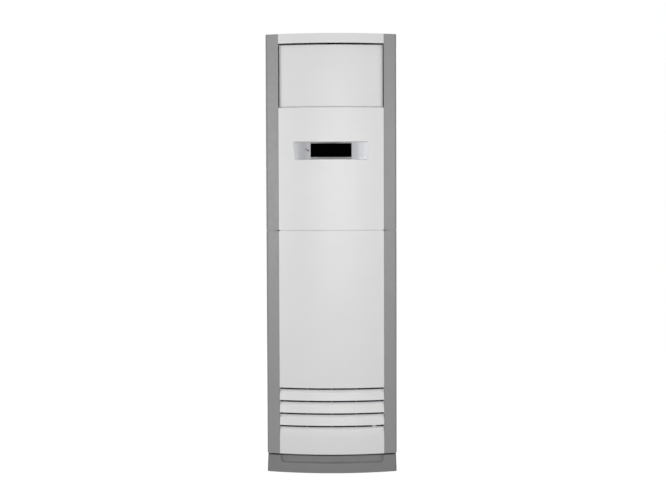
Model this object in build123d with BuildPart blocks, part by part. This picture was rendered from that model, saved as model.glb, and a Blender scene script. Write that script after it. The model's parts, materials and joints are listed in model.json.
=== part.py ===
from build123d import *
from math import acos, cos, degrees, pi, radians, sin, sqrt, tan
import os

# Floor standing air conditioner. Millimetres, +Z up, the front faces -Y.
# The origin lies on the floor, under the middle of the cabinet.

# Cabinet
cabinet_width = 506.0
cabinet_depth = 315.0
cabinet_height = 1700.0
front_bow = 42.0  # the front's middle stands this far ahead of its corners
corner_round = 12.0
column_width = 49.2
column_back = -75.0  # where a column's side wall ends
column_return = 12.0  # depth of a column's inner wall
plastic_wall = 2.5
sheet = 1.2
seat_gap = 0.3  # between pieces that rest on each other
close_gap = 0.1  # between a bracket and the sheet that it is fixed to
running_gap = 0.05  # between a shaft and its bore
slide_gap = 0.4  # between a tongue and its groove
edge_round = 1.0

# Levels
plinth_height = 67.0
base_gap = 7.0
seam_level = 943.3
seam_height = 3.0
upper_panel_top = 1417.0
cap_height = 36.8
door_top_gap = 5.0

# Base
foot_radius = 20.0
foot_height = 8.0
foot_inset = 48.0  # from the cabinet's side to a foot's middle
foot_front_y = -60.0
foot_back_y = 115.0
plinth_wall = 3.0
plinth_clearance = 1.5
plinth_flare = 2.2
plinth_side_inset = 0.5
tray_wall = 2.0
tray_front = -95.0
recess_floor = 39.0  # at its front edge
recess_rise = 4.0  # of the floor towards the back
recess_depth = 16.0
recess_chamfer = 13.0
recess_end_slope = 14.0  # each end leans in by this much over the depth
deck_width = 38.0

# Steel panels
side_step = 0.3  # from a column's side wall to the steel side panel inside it
flange_setback = 3.6  # from a column's back edge to the side panel's front flange
side_front_flange = 24.0
side_back_flange = 17.0
side_bottom_flange = 14.0
back_recess = 2.2  # the back panel's face lies this far inside the cabinet's depth
back_rib_width = 30.0
back_rib_height = 4.0
back_rib_count = 3
back_rib_pitch = 137.0
slot_width = 7.0
slot_length = 18.0
slot_spacing = 200.0
slot_level = 1600.0
screw_radius = 1.8
screw_head_radius = 4.0
screw_head_height = 1.8
screw_length = 8.0
screw_rows = 7
screw_margin = 45.0
screw_clearance = 0.3

# Pipe hole
hole_inset = 64.0  # from the side panel
hole_level = 150.0
grommet_bore = 30.0
grommet_lip = 4.0
grommet_wall = 3.0
grommet_length = 6.0

# Top cover
skirt_height = 20.0
cover_round = 3.0

# Upper front panel and display
panel_rim = 12.0
rib_depth = 7.0
rib_levels = (1000.0, 1100.0, 1185.0)
band_bottom = 1216.0
band_top = 1285.3
band_half_top = 146.0
band_half_bottom = 139.0
band_corner = 3.0
band_sink = 0.4
band_lip = 1.2
band_lip_depth = 9.0
window_half = 79.0
window_bottom = 1225.6
window_top = 1278.9
window_sink = 6.0
window_thickness = 1.8
window_gap = 0.1
bezel_floor = 1.6
wing_dish = 0.6
board_sink = 12.6
board_thickness = 1.6
board_left = -106.0
board_right = 82.0
lens_x = -88.7
lens_level = 1251.8
lens_radius = 3.0
button_x = -96.3
button_level = 1256.4
button_radius = 2.1
button_flange = 3.2
button_flange_height = 0.8
button_proud = 0.6
button_gap = 0.25

# Outlet door
door_inset = 16.0
door_side_gap = 3.3
door_overlap = 9.0
door_rim = 8.0
door_travel = 230.0
tongue_inset = 20.0
tongue_thickness = 2.0
tongue_reach = 9.5
rail_wall = 1.8
rail_end = 6.0

# Rack and pinion
gear_module = 1.5
pinion_teeth = 16
tooth_addendum = 0.8
tooth_dedendum = 1.25
pressure_angle = 20.0
backlash = 0.3
flank_steps = 5
rack_inset = 17.8  # from the columns' inner edge
rack_width = 8.0
rack_base = 6.0
rack_pad = 1.0
pinion_level = 1412.0
pinion_shaft_radius = 3.0
pinion_shaft_reach = 1.5  # beyond its ears
ear_offset = 3.0  # from a rack to the ear beside it
ear_thickness = 3.5
ear_reach = 10.0
door_motor_offset = 58.0  # from the right rack
door_motor_radius = 15.0
door_motor_length = 24.0

# Outlet frame, louvers and vanes
frame_reach = 1.2  # the frame runs this far behind each column
frame_wall = 3.0
frame_front = -94.0
frame_back = -5.0
frame_bottom = 1428.0
ear_height = 22.0
bracket_end_gap = 3.0  # from an ear or a rail's foot to the side panel
louver_count = 4
louver_y = -62.0
louver_chord = 44.0
louver_thickness = 2.6
louver_end_gap = 5.0
vane_count = 5
vane_pitch = 80.0
vane_y = -22.0
vane_chord = 28.0
vane_thickness = 2.0
vane_end_gap = 3.5
pivot_radius = 2.5
crank_radius = 1.5
louver_crank = 14.0
vane_crank = 9.0
link_width = 6.0
link_thickness = 1.5
link_gap = 0.8
swing_motor_radius = 14.0
swing_motor_length = 16.0
motor_louver_index = 1
motor_vane_index = 2

# Lower front panel, grille and filter
slot_first = 183.1
slot_pitch = 48.7
slot_count = 4
slot_opening = 6.0
slat_tilt = 4.0
slat_rib_inset = 5.0
slat_rib_depth = 5.0
slat_rib_thickness = 2.5
slat_rib_pitch = 95.0
slat_rib_count = 3
slat_rib_margin = 17.0
grille_inset = 7.5  # from the panel's edge
lower_rim = 12.0
top_rib_drop = 14.0
guide_wall = 2.0
guide_height = 270.0
filter_side_inset = 6.0  # from the grille's edge
filter_bottom = 138.0
filter_height = 235.0
filter_inset = 12.0
filter_thickness = 5.0
filter_border = 10.0
filter_bar = 4.0
filter_panes = 3
filter_mesh_thickness = 0.8
filter_clearance = 0.6

# Panel hinge
hinge_y = -118.0
hinge_level = 980.0
hinge_pin_radius = 3.0
hinge_eye = 6.0
arm_offset = 5.2  # from the columns' inner edge
arm_thickness = 5.0
arm_width = 8.0
arm_back = -100.0
arm_low = 931.0
arm_foot_height = 34.0
bracket_sheet = 2.0
bracket_offset = 3.0  # from an arm to the bracket beside it
bracket_foot = 22.0
bracket_half_height = 16.0

# Beam, coil and drain
beam_bottom = 950.0
beam_height = 25.0
beam_front = -76.0
beam_depth = 36.0
coil_length = 400.0
coil_thickness = 50.0
coil_side_room = 64.0  # from the outer fins to the side panels
coil_y = 35.0
coil_tilt = 18.0
fin_count = 38
fin_thickness = 1.6
tube_radius = 4.75
tube_gap = 0.1
tubes_per_row = 8
row_spacing = 24.0
tube_overhang = 5.0
tube_end = 12.0
end_plate_edge = 4.0
end_plate_foot = 10.0
pan_front = -72.0
pan_back = 16.0
pan_height = 32.0
spigot_inset = 20.0  # from the side panel
spigot_y = -12.0
spigot_radius = 7.8
spigot_bore = 6.0
spigot_length = 20.0
hose_radius = 10.0
hose_bore = 8.0
hose_bend = 35.0
hose_end_y = 138.0

# Refrigerant pipes
gas_radius = 7.95
liquid_radius = 4.75
pipe_bend = 20.0
pipe_inset = 13.0  # from the side panel
pipe_shift_level = 560.0
pipe_shift_drop = 60.0
union_level = 440.0
gas_union_inset = 35.0  # from the side panel
gas_union_y = 112.0
union_spacing = 38.0
liquid_union_y = 122.0
gas_thread_radius = 11.1
liquid_thread_radius = 7.9
thread_length = 14.0
hex_height = 12.0
hex_extra = 3.0
hex_sides = 6

# Fan
pipe_side_room = 44.5  # from the volute to the side panel, on the pipes' side
duct_side_room = 39.5  # the same on the other side
fan_level = 300.0
scroll_step = 15.0
scroll_step_count = 3  # steps by which the volute widens up to its outlet
scroll_half = 62.0
scroll_wall = 2.5
scroll_top = 600.0
casing_leg_width = 34.0
casing_leg_spacing = 105.0
wheel_clearance = 22.0  # from the wheel to the volute's narrowest place
wheel_half = 50.0
wheel_ring = 20.0
wheel_plate = 3.0
blade_count = 36
blade_depth = 24.0
blade_thickness = 1.6
blade_sweep = 7.0
hub_radius = 26.0
hub_length = 40.0
inlet_inset = 24.0  # from the wheel's rim to the inlet's
bell_reach = 13.0
shaft_radius = 6.0
shaft_front = 2.0
nut_radius = 11.0
nut_height = 9.0
motor_radius = 58.0
motor_length = 66.0
motor_round = 4.0
motor_boss_radius = 18.0
motor_boss_length = 3.0
motor_plate_gap = 2.0
motor_plate_half = 78.0
motor_plate_above = 75.0
motor_foot = 34.0
shaft_in_motor = 50.0

# Control box
box_inset = 44.0  # from the side panel
box_width = 150.0
box_height = 250.0
box_front = -64.0
box_back = 21.0
control_board_margin = 14.0
standoff_radius = 4.0
standoff_height = 8.0
capacitor_radius = 14.0
capacitor_height = 38.0
transformer_size = 42.0
terminal_cells = 5
terminal_pitch = 16.0
terminal_depth = 18.0
terminal_height = 22.0
terminal_cup_width = 11.0
terminal_cup_height = 13.0

# Worked out from the sizes above
half_width = cabinet_width / 2
foot_x = half_width - foot_inset
half_depth = cabinet_depth / 2
front_radius = (half_width**2 + front_bow**2) / (2 * front_bow)
front_centre = front_radius - half_depth
column_edge = half_width - column_width
panel_half = column_edge - seat_gap
panel_bottom = plinth_height + base_gap
lower_panel_top = seam_level - seam_height / 2
upper_panel_bottom = seam_level + seam_height / 2
cap_bottom = cabinet_height - cap_height
side_outer = half_width - plastic_wall - side_step
side_inner = side_outer - sheet
back_outer = half_depth - back_recess
back_inner = back_outer - sheet
flange_front = column_back - flange_setback
flange_back = flange_front + sheet
door_half = column_edge - door_side_gap
door_bottom = upper_panel_top - door_overlap
door_top = cap_bottom - door_top_gap
window_y = -half_depth + window_sink
board_y = -half_depth + board_sink
pitch_radius = gear_module * pinion_teeth / 2
tray_top = foot_height + tray_wall
frame_top = cap_bottom - seat_gap
tray_half = half_width - plinth_flare - plinth_wall - plinth_side_inset - seat_gap
deck_bottom = plinth_height - plinth_wall
slot_levels = [slot_first + k * slot_pitch for k in range(slot_count)]
hole_x = side_inner - hole_inset
rack_x = column_edge - rack_inset
ear_x = rack_x + rack_width / 2 + ear_offset
pinion_shaft_half = ear_x + ear_thickness + pinion_shaft_reach
door_motor_x = rack_x - door_motor_offset
frame_half = column_edge + frame_reach
bracket_end = side_inner - bracket_end_gap
grille_half = panel_half - grille_inset
filter_half = grille_half - filter_side_inset
arm_x = column_edge + arm_offset
bracket_x = arm_x + arm_thickness + bracket_offset
coil_half = side_inner - coil_side_room
spigot_x = side_inner - spigot_inset
pipe_x = side_inner - pipe_inset
gas_union_x = side_inner - gas_union_inset
liquid_union_x = gas_union_x - union_spacing
scroll_width = 2 * side_inner - pipe_side_room - duct_side_room
scroll_radius = (scroll_width - scroll_step_count * scroll_step) / 2 - scroll_wall
fan_x = side_inner - pipe_side_room - scroll_wall - scroll_radius
wheel_radius = scroll_radius - wheel_clearance
inlet_radius = wheel_radius - inlet_inset
box_right = side_inner - box_inset
box_left = box_right - box_width


def front_at(x, inset=0.0):
    """The y of the bowed front at x, or of a surface lying inset behind it."""
    return front_centre - sqrt((front_radius - inset) ** 2 - x**2)


def bowed_strip(level, near, far, left, right):
    """A strip between two arcs that lie near and far behind the front, from left to right."""
    with BuildSketch(Plane.XY.offset(level)) as strip:
        with Locations((0, front_centre)):
            Circle(front_radius - near)
            Circle(front_radius - far, mode=Mode.SUBTRACT)
        with Locations(((left + right) / 2, -half_depth)):
            Rectangle(right - left, cabinet_depth, mode=Mode.INTERSECT)
    return strip.sketch


def block(level, left, right, front, back):
    """A rectangle on the level, between two x and two y."""
    with BuildSketch(Plane.XY.offset(level)) as rectangle:
        with Locations(((left + right) / 2, (front + back) / 2)):
            Rectangle(right - left, back - front)
    return rectangle.sketch


def standing(y):
    """An upright plane that faces the front: its own x is X and its own y is Z."""
    return Plane.XZ.offset(-y)


def round_at(y, x, level, radius):
    """A circle on an upright plane that faces the front."""
    with BuildSketch(standing(y)) as circle:
        with Locations((x, level)):
            Circle(radius)
    return circle.sketch


def side_circle(x, y, level, radius):
    """A circle on a plane across the X axis."""
    with BuildSketch(Plane.YZ.offset(x)) as circle:
        with Locations((y, level)):
            Circle(radius)
    return circle.sketch


def finish(part, name):
    """Names a finished piece and writes its file."""
    part.label = name
    export_step(part, f"parts/{name}.step")


os.makedirs("parts", exist_ok=True)

# Base: rubber feet, a steel tray on them, and the plastic plinth around the tray
with BuildPart() as rubber_feet:
    with BuildSketch(Plane.XY):
        for foot_y in (foot_front_y, foot_back_y):
            with Locations((-foot_x, foot_y), (foot_x, foot_y)):
                Circle(foot_radius)
    extrude(amount=foot_height)
    chamfer(rubber_feet.edges().group_by(Axis.Z)[-1], edge_round)

tray_back = half_depth - plinth_wall - plinth_flare - seat_gap
with BuildPart() as base_plate:
    extrude(block(foot_height, -tray_half, tray_half, tray_front, tray_back), amount=tray_wall)
    for side in (-1, 1):
        wall_x = side * (tray_half - tray_wall / 2)
        extrude(
            block(foot_height, wall_x - tray_wall / 2, wall_x + tray_wall / 2, tray_front, tray_back),
            amount=deck_bottom - seat_gap - foot_height,
        )
    extrude(
        block(foot_height, -tray_half, tray_half, tray_back - tray_wall, tray_back),
        amount=deck_bottom - seat_gap - foot_height,
    )


def plinth_outline(level):
    """The plinth's outline, a little inside the cabinet's own."""
    with BuildSketch(Plane.XY.offset(level)) as outline:
        with Locations((0, front_centre)):
            Circle(front_radius)
        Rectangle(2 * (half_width - plinth_side_inset), cabinet_depth, mode=Mode.INTERSECT)
        fillet(outline.vertices().group_by(Axis.Y)[0], corner_round)
    return outline.sketch


# the finger recess under the lower panel: its floor rises and its ends lean in towards the back
recess_back_half = column_edge - recess_end_slope
with BuildPart() as recess:
    with BuildSketch(standing(-half_depth)) as recess_face:
        with Locations((0, (recess_floor + plinth_height) / 2)):
            Rectangle(2 * column_edge, plinth_height - recess_floor)
        chamfer(recess_face.vertices().group_by(Axis.Y)[0], recess_chamfer)
    extrude(amount=-(front_bow + recess_depth))
    with BuildSketch(Plane.YZ) as recess_profile:
        Polygon(
            (-half_depth - recess_depth, plinth_height),
            (-half_depth - recess_depth, recess_floor),
            (-half_depth, recess_floor),
            (-half_depth + recess_depth, recess_floor + recess_rise),
            (-half_depth + recess_depth, plinth_height),
            align=None,
        )
    revolve(axis=Axis((0, front_centre, 0), (0, 0, 1)), mode=Mode.INTERSECT)
    with BuildSketch(Plane.XY) as recess_plan:
        Polygon(
            (-column_edge, -half_depth),
            (column_edge, -half_depth),
            (column_edge, front_at(column_edge)),
            (recess_back_half, front_at(recess_back_half, recess_depth)),
            (-recess_back_half, front_at(recess_back_half, recess_depth)),
            (-column_edge, front_at(column_edge)),
            align=None,
        )
    extrude(amount=plinth_height, mode=Mode.INTERSECT)

with BuildPart() as plinth:
    flare_angle = degrees(plinth_flare / (plinth_height - plinth_clearance))
    extrude(plinth_outline(plinth_clearance), amount=plinth_height - plinth_clearance, taper=flare_angle)
    # room for the tray
    room_height = deck_bottom - plinth_clearance
    room_half = tray_half + seat_gap
    room_front = tray_front - seat_gap
    room_back = tray_back + seat_gap
    extrude(
        block(plinth_clearance, -room_half, room_half, room_front, room_back),
        amount=room_height,
        mode=Mode.SUBTRACT,
    )
    # hollow under the recess and behind it
    hollow_back = half_depth + tray_front
    extrude(
        bowed_strip(plinth_clearance, plinth_wall + plinth_flare, hollow_back, -room_half, room_half),
        amount=recess_floor - plinth_wall - plinth_clearance,
        mode=Mode.SUBTRACT,
    )
    extrude(
        bowed_strip(plinth_clearance, recess_depth + plinth_wall, hollow_back, -room_half, room_half),
        amount=room_height,
        mode=Mode.SUBTRACT,
    )
    # the deck is open over the tray
    extrude(
        block(
            deck_bottom,
            deck_width - tray_half,
            tray_half - deck_width,
            tray_front + plinth_wall,
            tray_back - deck_width,
        ),
        amount=plinth_wall,
        mode=Mode.SUBTRACT,
    )
    add(recess.part, mode=Mode.SUBTRACT)


# Columns at the front's two edges, in an upper and a lower length
def column_section(level, side):
    with BuildSketch(Plane.XY.offset(level)) as section:
        with Locations((0, front_centre)):
            Circle(front_radius)
        with Locations((side * (column_edge + column_width / 2), column_back - half_depth)):
            Rectangle(column_width, cabinet_depth, mode=Mode.INTERSECT)
        fillet(section.vertices().sort_by(Axis.Y)[1], corner_round)
    return section.sketch


def column_cavity(level, side):
    """The column's hollow, open to the back, with a short inner wall."""
    with BuildSketch(Plane.XY.offset(level)) as cavity:
        with Locations((0, front_centre)):
            Circle(front_radius - plastic_wall)
        with Locations((side * (column_edge + column_width / 2), column_back + plastic_wall - half_depth)):
            Rectangle(column_width - 2 * plastic_wall, cabinet_depth, mode=Mode.INTERSECT)
        fillet(cavity.vertices().sort_by(Axis.Y)[1], corner_round - plastic_wall)
        inner_front = front_at(column_edge) + column_return
        inner_depth = column_back + plastic_wall - inner_front
        with Locations((side * (column_edge + plastic_wall), inner_front + inner_depth / 2)):
            Rectangle(2 * plastic_wall, inner_depth)
    return cavity.sketch


def build_columns(bottom, top, cavity_bottom, cavity_top):
    """Both columns between two levels, closed beyond the ends of their cavities."""
    with BuildPart() as pair:
        for side in (-1, 1):
            extrude(column_section(bottom, side), amount=top - bottom)
        for side in (-1, 1):
            extrude(
                column_cavity(cavity_bottom, side), amount=cavity_top - cavity_bottom, mode=Mode.SUBTRACT
            )
            # an end plate at the foot stops short of the steel side panel
            near, far = sorted((side * (column_edge - seat_gap), side * (side_outer + side_step)))
            if cavity_bottom > bottom:
                extrude(
                    block(bottom, near, far, flange_front - seat_gap, column_back + seat_gap),
                    amount=cavity_bottom - bottom,
                    mode=Mode.SUBTRACT,
                )
    return pair.part


with BuildPart() as upper_columns:
    add(
        build_columns(
            upper_panel_bottom, cabinet_height, upper_panel_bottom, cabinet_height - plastic_wall
        )
    )

with BuildPart() as lower_columns:
    add(build_columns(panel_bottom, lower_panel_top, panel_bottom + plastic_wall, lower_panel_top))


# Steel side panels with flanges at the front, the back and the foot
screw_levels = [
    plinth_height + screw_margin + k * (cabinet_height - skirt_height - plinth_height - 2 * screw_margin)
    / (screw_rows - 1)
    for k in range(screw_rows)
]
screw_x = side_inner - side_back_flange / 2
side_top = cabinet_height - plastic_wall - seat_gap


def build_side(side):
    with BuildPart() as panel:
        low = plinth_height
        high = side_top - low
        inner, outer = sorted((side * side_inner, side * side_outer))
        extrude(block(low, inner, outer, flange_front, back_inner), amount=high)
        inner, outer = sorted((side * (side_outer - side_front_flange), side * side_outer))
        extrude(block(low, inner, outer, flange_front, flange_back), amount=high)
        inner, outer = sorted((side * (side_outer - side_back_flange), side * side_outer))
        extrude(block(low, inner, outer, back_inner - sheet, back_inner), amount=high)
        inner, outer = sorted((side * (side_outer - side_bottom_flange), side * side_outer))
        extrude(block(low, inner, outer, flange_front, back_inner), amount=sheet)
        for level in screw_levels:
            extrude(
                round_at(back_inner - 2 * sheet, side * screw_x, level, screw_radius + screw_clearance),
                amount=-3 * sheet,
                mode=Mode.SUBTRACT,
            )
    return panel.part


with BuildPart() as left_side_panel:
    add(build_side(-1))

with BuildPart() as right_side_panel:
    add(build_side(1))

# Back panel with pressed ribs, two slots for a wall hook and the pipe hole
back_top = cabinet_height - skirt_height - seat_gap
with BuildPart() as back_panel:
    extrude(
        block(plinth_height, -side_outer, side_outer, back_inner, back_outer),
        amount=back_top - plinth_height,
    )
    rib_low = hole_level + 2 * grommet_bore
    rib_high = slot_level - 2 * slot_length
    for k in range(back_rib_count):
        rib_x = (k - (back_rib_count - 1) / 2) * back_rib_pitch
        with BuildSketch(standing(back_inner)):
            with Locations((rib_x, (rib_low + rib_high) / 2)):
                SlotOverall(rib_high - rib_low, back_rib_width, rotation=90)
        extrude(amount=back_rib_height)
        with BuildSketch(standing(back_outer)):
            with Locations((rib_x, (rib_low + rib_high) / 2)):
                SlotOverall(rib_high - rib_low - 2 * sheet, back_rib_width - 2 * sheet, rotation=90)
        extrude(amount=back_rib_height, mode=Mode.SUBTRACT)
    with BuildSketch(standing(back_inner - sheet)):
        with Locations((-slot_spacing / 2, slot_level), (slot_spacing / 2, slot_level)):
            SlotOverall(slot_length, slot_width)
    extrude(amount=-3 * sheet, mode=Mode.SUBTRACT)
    hole_radius = grommet_bore + grommet_wall + seat_gap
    extrude(
        round_at(back_inner - sheet, hole_x, hole_level, hole_radius),
        amount=-3 * sheet,
        mode=Mode.SUBTRACT,
    )
    for side in (-1, 1):
        for level in screw_levels:
            extrude(
                round_at(back_inner - sheet, side * screw_x, level, screw_radius + screw_clearance),
                amount=-3 * sheet,
                mode=Mode.SUBTRACT,
            )

with BuildPart() as pipe_grommet:
    grommet_front = back_outer - grommet_length + seat_gap + sheet
    grommet_rim = grommet_bore + grommet_wall + grommet_lip
    extrude(round_at(grommet_front, hole_x, hole_level, grommet_rim), amount=-grommet_length)
    # a groove holds the back panel's edge
    extrude(
        round_at(back_inner - seat_gap / 2, hole_x, hole_level, grommet_rim + grommet_lip),
        amount=-(sheet + seat_gap),
        mode=Mode.SUBTRACT,
    )
    extrude(
        round_at(grommet_front, hole_x, hole_level, grommet_bore + grommet_wall), amount=-grommet_length
    )
    extrude(
        round_at(grommet_front, hole_x, hole_level, grommet_bore),
        amount=-grommet_length,
        mode=Mode.SUBTRACT,
    )

with BuildPart() as cabinet_screws:
    for side in (-1, 1):
        for level in screw_levels:
            extrude(
                round_at(back_outer, side * screw_x, level, screw_head_radius), amount=-screw_head_height
            )
            extrude(round_at(back_outer, side * screw_x, level, screw_radius), amount=screw_length)

# Top cover: the bowed cap between the columns and a skirt round the steel panels
with BuildPart() as top_cover:
    with BuildSketch(Plane.XY.offset(cap_bottom)):
        with Locations((0, front_centre)):
            Circle(front_radius)
        Rectangle(cabinet_width, cabinet_depth, mode=Mode.INTERSECT)
        for side in (-1, 1):
            with Locations((side * half_width, column_back + seat_gap - half_depth)):
                Rectangle(2 * (half_width - panel_half), cabinet_depth, mode=Mode.SUBTRACT)
    extrude(amount=cap_height)
    with BuildSketch(Plane.XY.offset(cap_bottom)):
        with Locations((0, front_centre)):
            Circle(front_radius - plastic_wall)
        cover_room = cabinet_depth - 2 * (plastic_wall - seat_gap)
        Rectangle(2 * (half_width - plastic_wall), cover_room, mode=Mode.INTERSECT)
        for side in (-1, 1):
            with Locations((side * half_width, column_back + seat_gap - half_depth)):
                Rectangle(2 * (half_width - panel_half + plastic_wall), cabinet_depth, mode=Mode.SUBTRACT)
    extrude(amount=cap_height - plastic_wall, mode=Mode.SUBTRACT)
    extrude(
        block(cap_bottom, -half_width, half_width, column_back, half_depth),
        amount=cap_height - skirt_height,
        mode=Mode.SUBTRACT,
    )
    fillet(top_cover.edges().filter_by(Axis.Z).sort_by(Axis.Y)[-2:], cover_round)

# Upper front panel with side rims, ribs and the opening for the display
def band_outline(y, clearance):
    """The display band's outline on an upright plane, a little wider at its top."""
    with BuildSketch(standing(y)) as outline:
        Polygon(
            (-band_half_bottom + clearance, band_bottom + clearance),
            (band_half_bottom - clearance, band_bottom + clearance),
            (band_half_top - clearance, band_top - clearance),
            (-band_half_top + clearance, band_top - clearance),
            align=None,
        )
        fillet(outline.vertices(), band_corner)
    return outline.sketch


with BuildPart() as upper_front_panel:
    upper_height = upper_panel_top - upper_panel_bottom
    extrude(bowed_strip(upper_panel_bottom, 0, plastic_wall, -panel_half, panel_half), amount=upper_height)
    for side in (-1, 1):
        near, far = sorted((side * (panel_half - plastic_wall), side * panel_half))
        extrude(bowed_strip(upper_panel_bottom, 0, panel_rim, near, far), amount=upper_height)
    for level in rib_levels:
        extrude(
            bowed_strip(level, 0, plastic_wall + rib_depth, -panel_half, panel_half), amount=plastic_wall
        )
    extrude(band_outline(-half_depth, 0), amount=-(front_bow + panel_rim), mode=Mode.SUBTRACT)
    fillet(
        upper_front_panel.edges().group_by(Axis.Z)[-1].sort_by(Axis.Y)[:1]
        + upper_front_panel.edges().group_by(Axis.Z)[0].sort_by(Axis.Y)[:1],
        edge_round,
    )

# Display: a dished bezel with the window, the receiver lens and the hand button in it
band_height = band_top - band_bottom
wing_x = band_half_top + seat_gap
with BuildPart() as display_bezel:
    with BuildSketch(Plane.XY.offset(band_bottom)):
        with BuildLine():
            wing_y = front_at(wing_x) + band_sink
            middle_x = (window_half + wing_x) / 2
            middle_y = (window_y + wing_y) / 2 + wing_dish
            Line((-window_half, window_y), (window_half, window_y))
            ThreePointArc((window_half, window_y), (middle_x, middle_y), (wing_x, wing_y))
            Line((wing_x, wing_y), (wing_x, wing_y + bezel_floor))
            ThreePointArc(
                (wing_x, wing_y + bezel_floor),
                (middle_x, middle_y + bezel_floor),
                (window_half, window_y + bezel_floor),
            )
            Line((window_half, window_y + bezel_floor), (-window_half, window_y + bezel_floor))
            ThreePointArc(
                (-window_half, window_y + bezel_floor),
                (-middle_x, middle_y + bezel_floor),
                (-wing_x, wing_y + bezel_floor),
            )
            Line((-wing_x, wing_y + bezel_floor), (-wing_x, wing_y))
            ThreePointArc((-wing_x, wing_y), (-middle_x, middle_y), (-window_half, window_y))
        make_face()
    extrude(amount=band_height)
    for level in (band_bottom, band_top - band_lip - seat_gap):
        extrude(
            bowed_strip(level, band_sink, band_lip_depth, -wing_x, wing_x), amount=band_lip + seat_gap
        )
    extrude(
        band_outline(-half_depth, seat_gap / 2), amount=-(front_bow + panel_rim), mode=Mode.INTERSECT
    )
    with BuildSketch(standing(-half_depth)):
        with Locations((0, (window_bottom + window_top) / 2)):
            Rectangle(2 * window_half, window_top - window_bottom)
    extrude(amount=-(front_bow + panel_rim), mode=Mode.SUBTRACT)
    extrude(
        round_at(-half_depth, lens_x, lens_level, lens_radius),
        amount=-(front_bow + panel_rim),
        mode=Mode.SUBTRACT,
    )
    extrude(
        round_at(-half_depth, button_x, button_level, button_radius + button_gap),
        amount=-(front_bow + panel_rim),
        mode=Mode.SUBTRACT,
    )

with BuildPart() as display_window:
    with BuildSketch(standing(window_y)):
        with Locations((0, (window_bottom + window_top) / 2)):
            Rectangle(2 * (window_half - window_gap), window_top - window_bottom - 2 * window_gap)
    extrude(amount=-window_thickness)

with BuildPart() as display_board:
    board_low = band_bottom + band_lip + 2 * seat_gap
    board_high = band_top - band_lip - 2 * seat_gap
    extrude(
        block(board_low, board_left, board_right, board_y, board_y + board_thickness),
        amount=board_high - board_low,
    )
    # the display module reaches forward to the window
    module_front = window_y + window_thickness + seat_gap
    extrude(
        block(window_bottom, -window_half, window_half, module_front, board_y),
        amount=window_top - window_bottom,
    )

with BuildPart() as receiver_lens:
    extrude(
        round_at(window_y, lens_x, lens_level, lens_radius - running_gap),
        amount=window_y - board_y + seat_gap,
    )

wing_share = (-button_x + button_flange - window_half) / (wing_x - window_half)
button_floor = window_y + wing_dish + wing_share * (wing_y - window_y)
button_face = button_floor - wing_dish - button_proud
button_seat = button_floor + bezel_floor + close_gap
with BuildPart() as manual_button:
    extrude(round_at(button_face, button_x, button_level, button_radius), amount=button_face - button_seat)
    extrude(round_at(button_seat, button_x, button_level, button_flange), amount=-button_flange_height)
    fillet(manual_button.edges().group_by(Axis.Y)[0], edge_round / 2)

# Outlet door with a rim, side tongues and pads for its racks
rack_seat = front_at(rack_x + rack_width / 2, door_inset + plastic_wall) + rack_pad
with BuildPart() as outlet_door:
    door_height = door_top - door_bottom
    extrude(
        bowed_strip(door_bottom, door_inset, door_inset + plastic_wall, -door_half, door_half),
        amount=door_height,
    )
    for side in (-1, 1):
        near, far = sorted((side * (door_half - plastic_wall), side * door_half))
        extrude(bowed_strip(door_bottom, door_inset, door_inset + door_rim, near, far), amount=door_height)
        near, far = sorted((side * (door_half - plastic_wall), side * (door_half + tongue_reach)))
        extrude(
            bowed_strip(door_bottom, tongue_inset, tongue_inset + tongue_thickness, near, far),
            amount=door_height,
        )
    for level in (door_bottom, door_top - plastic_wall):
        extrude(
            bowed_strip(level, door_inset, door_inset + door_rim, -door_half, door_half),
            amount=plastic_wall,
        )
    for side in (-1, 1):
        near, far = sorted((side * (rack_x - rack_width / 2), side * (rack_x + rack_width / 2)))
        extrude(block(door_bottom, near, far, front_at(near, door_inset), rack_seat), amount=door_height)
        near, far = sorted(
            (side * (rack_x - rack_width / 2 - slide_gap), side * (rack_x + rack_width / 2 + slide_gap))
        )
        extrude(block(door_bottom, near, far, rack_seat, 0), amount=door_height, mode=Mode.SUBTRACT)
    extrude(
        bowed_strip(door_bottom, 0, door_inset, -half_width, half_width),
        amount=door_height,
        mode=Mode.SUBTRACT,
    )
    fillet(outlet_door.edges().group_by(Axis.Z)[-1].sort_by(Axis.Y)[:1], edge_round)

# Racks on the door, in mesh with the pinions
tooth_pitch = pi * gear_module
root_y = rack_seat + rack_base
pitch_y = root_y + tooth_dedendum * gear_module
tip_y = pitch_y + tooth_addendum * gear_module
flank = tan(radians(pressure_angle))
tooth_half = tooth_pitch / 4 - backlash / 4
root_half = tooth_half + tooth_dedendum * gear_module * flank
tip_half = tooth_half - tooth_addendum * gear_module * flank
rack_low = pinion_level - 2 * tooth_pitch
rack_teeth = int((door_top - plastic_wall - rack_low) / tooth_pitch)
with BuildPart() as door_racks:
    for side in (-1, 1):
        near, far = sorted((side * (rack_x - rack_width / 2), side * (rack_x + rack_width / 2)))
        extrude(block(rack_low, near, far, rack_seat, root_y), amount=rack_teeth * tooth_pitch)
        with BuildSketch(Plane.YZ.offset(near)):
            for k in range(rack_teeth):
                level = rack_low + (k + 1 / 2) * tooth_pitch
                Polygon(
                    (root_y, level - root_half),
                    (tip_y, level - tip_half),
                    (tip_y, level + tip_half),
                    (root_y, level + root_half),
                    align=None,
                )
        extrude(amount=rack_width)

pinion_y = pitch_y + pitch_radius
base_radius = pitch_radius * cos(radians(pressure_angle))
pinion_tip = pitch_radius + tooth_addendum * gear_module
pinion_root = pitch_radius - tooth_dedendum * gear_module


def involute_point(radius):
    """Distance round the pinion from a tooth's middle to its flank, as an angle, at a radius."""
    def involute(angle):
        return tan(angle) - angle

    pressure_here = acos(base_radius / radius)
    half_tooth = (tooth_pitch / 2 - backlash / 2) / (2 * pitch_radius)
    return half_tooth + involute(radians(pressure_angle)) - involute(pressure_here)


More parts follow.
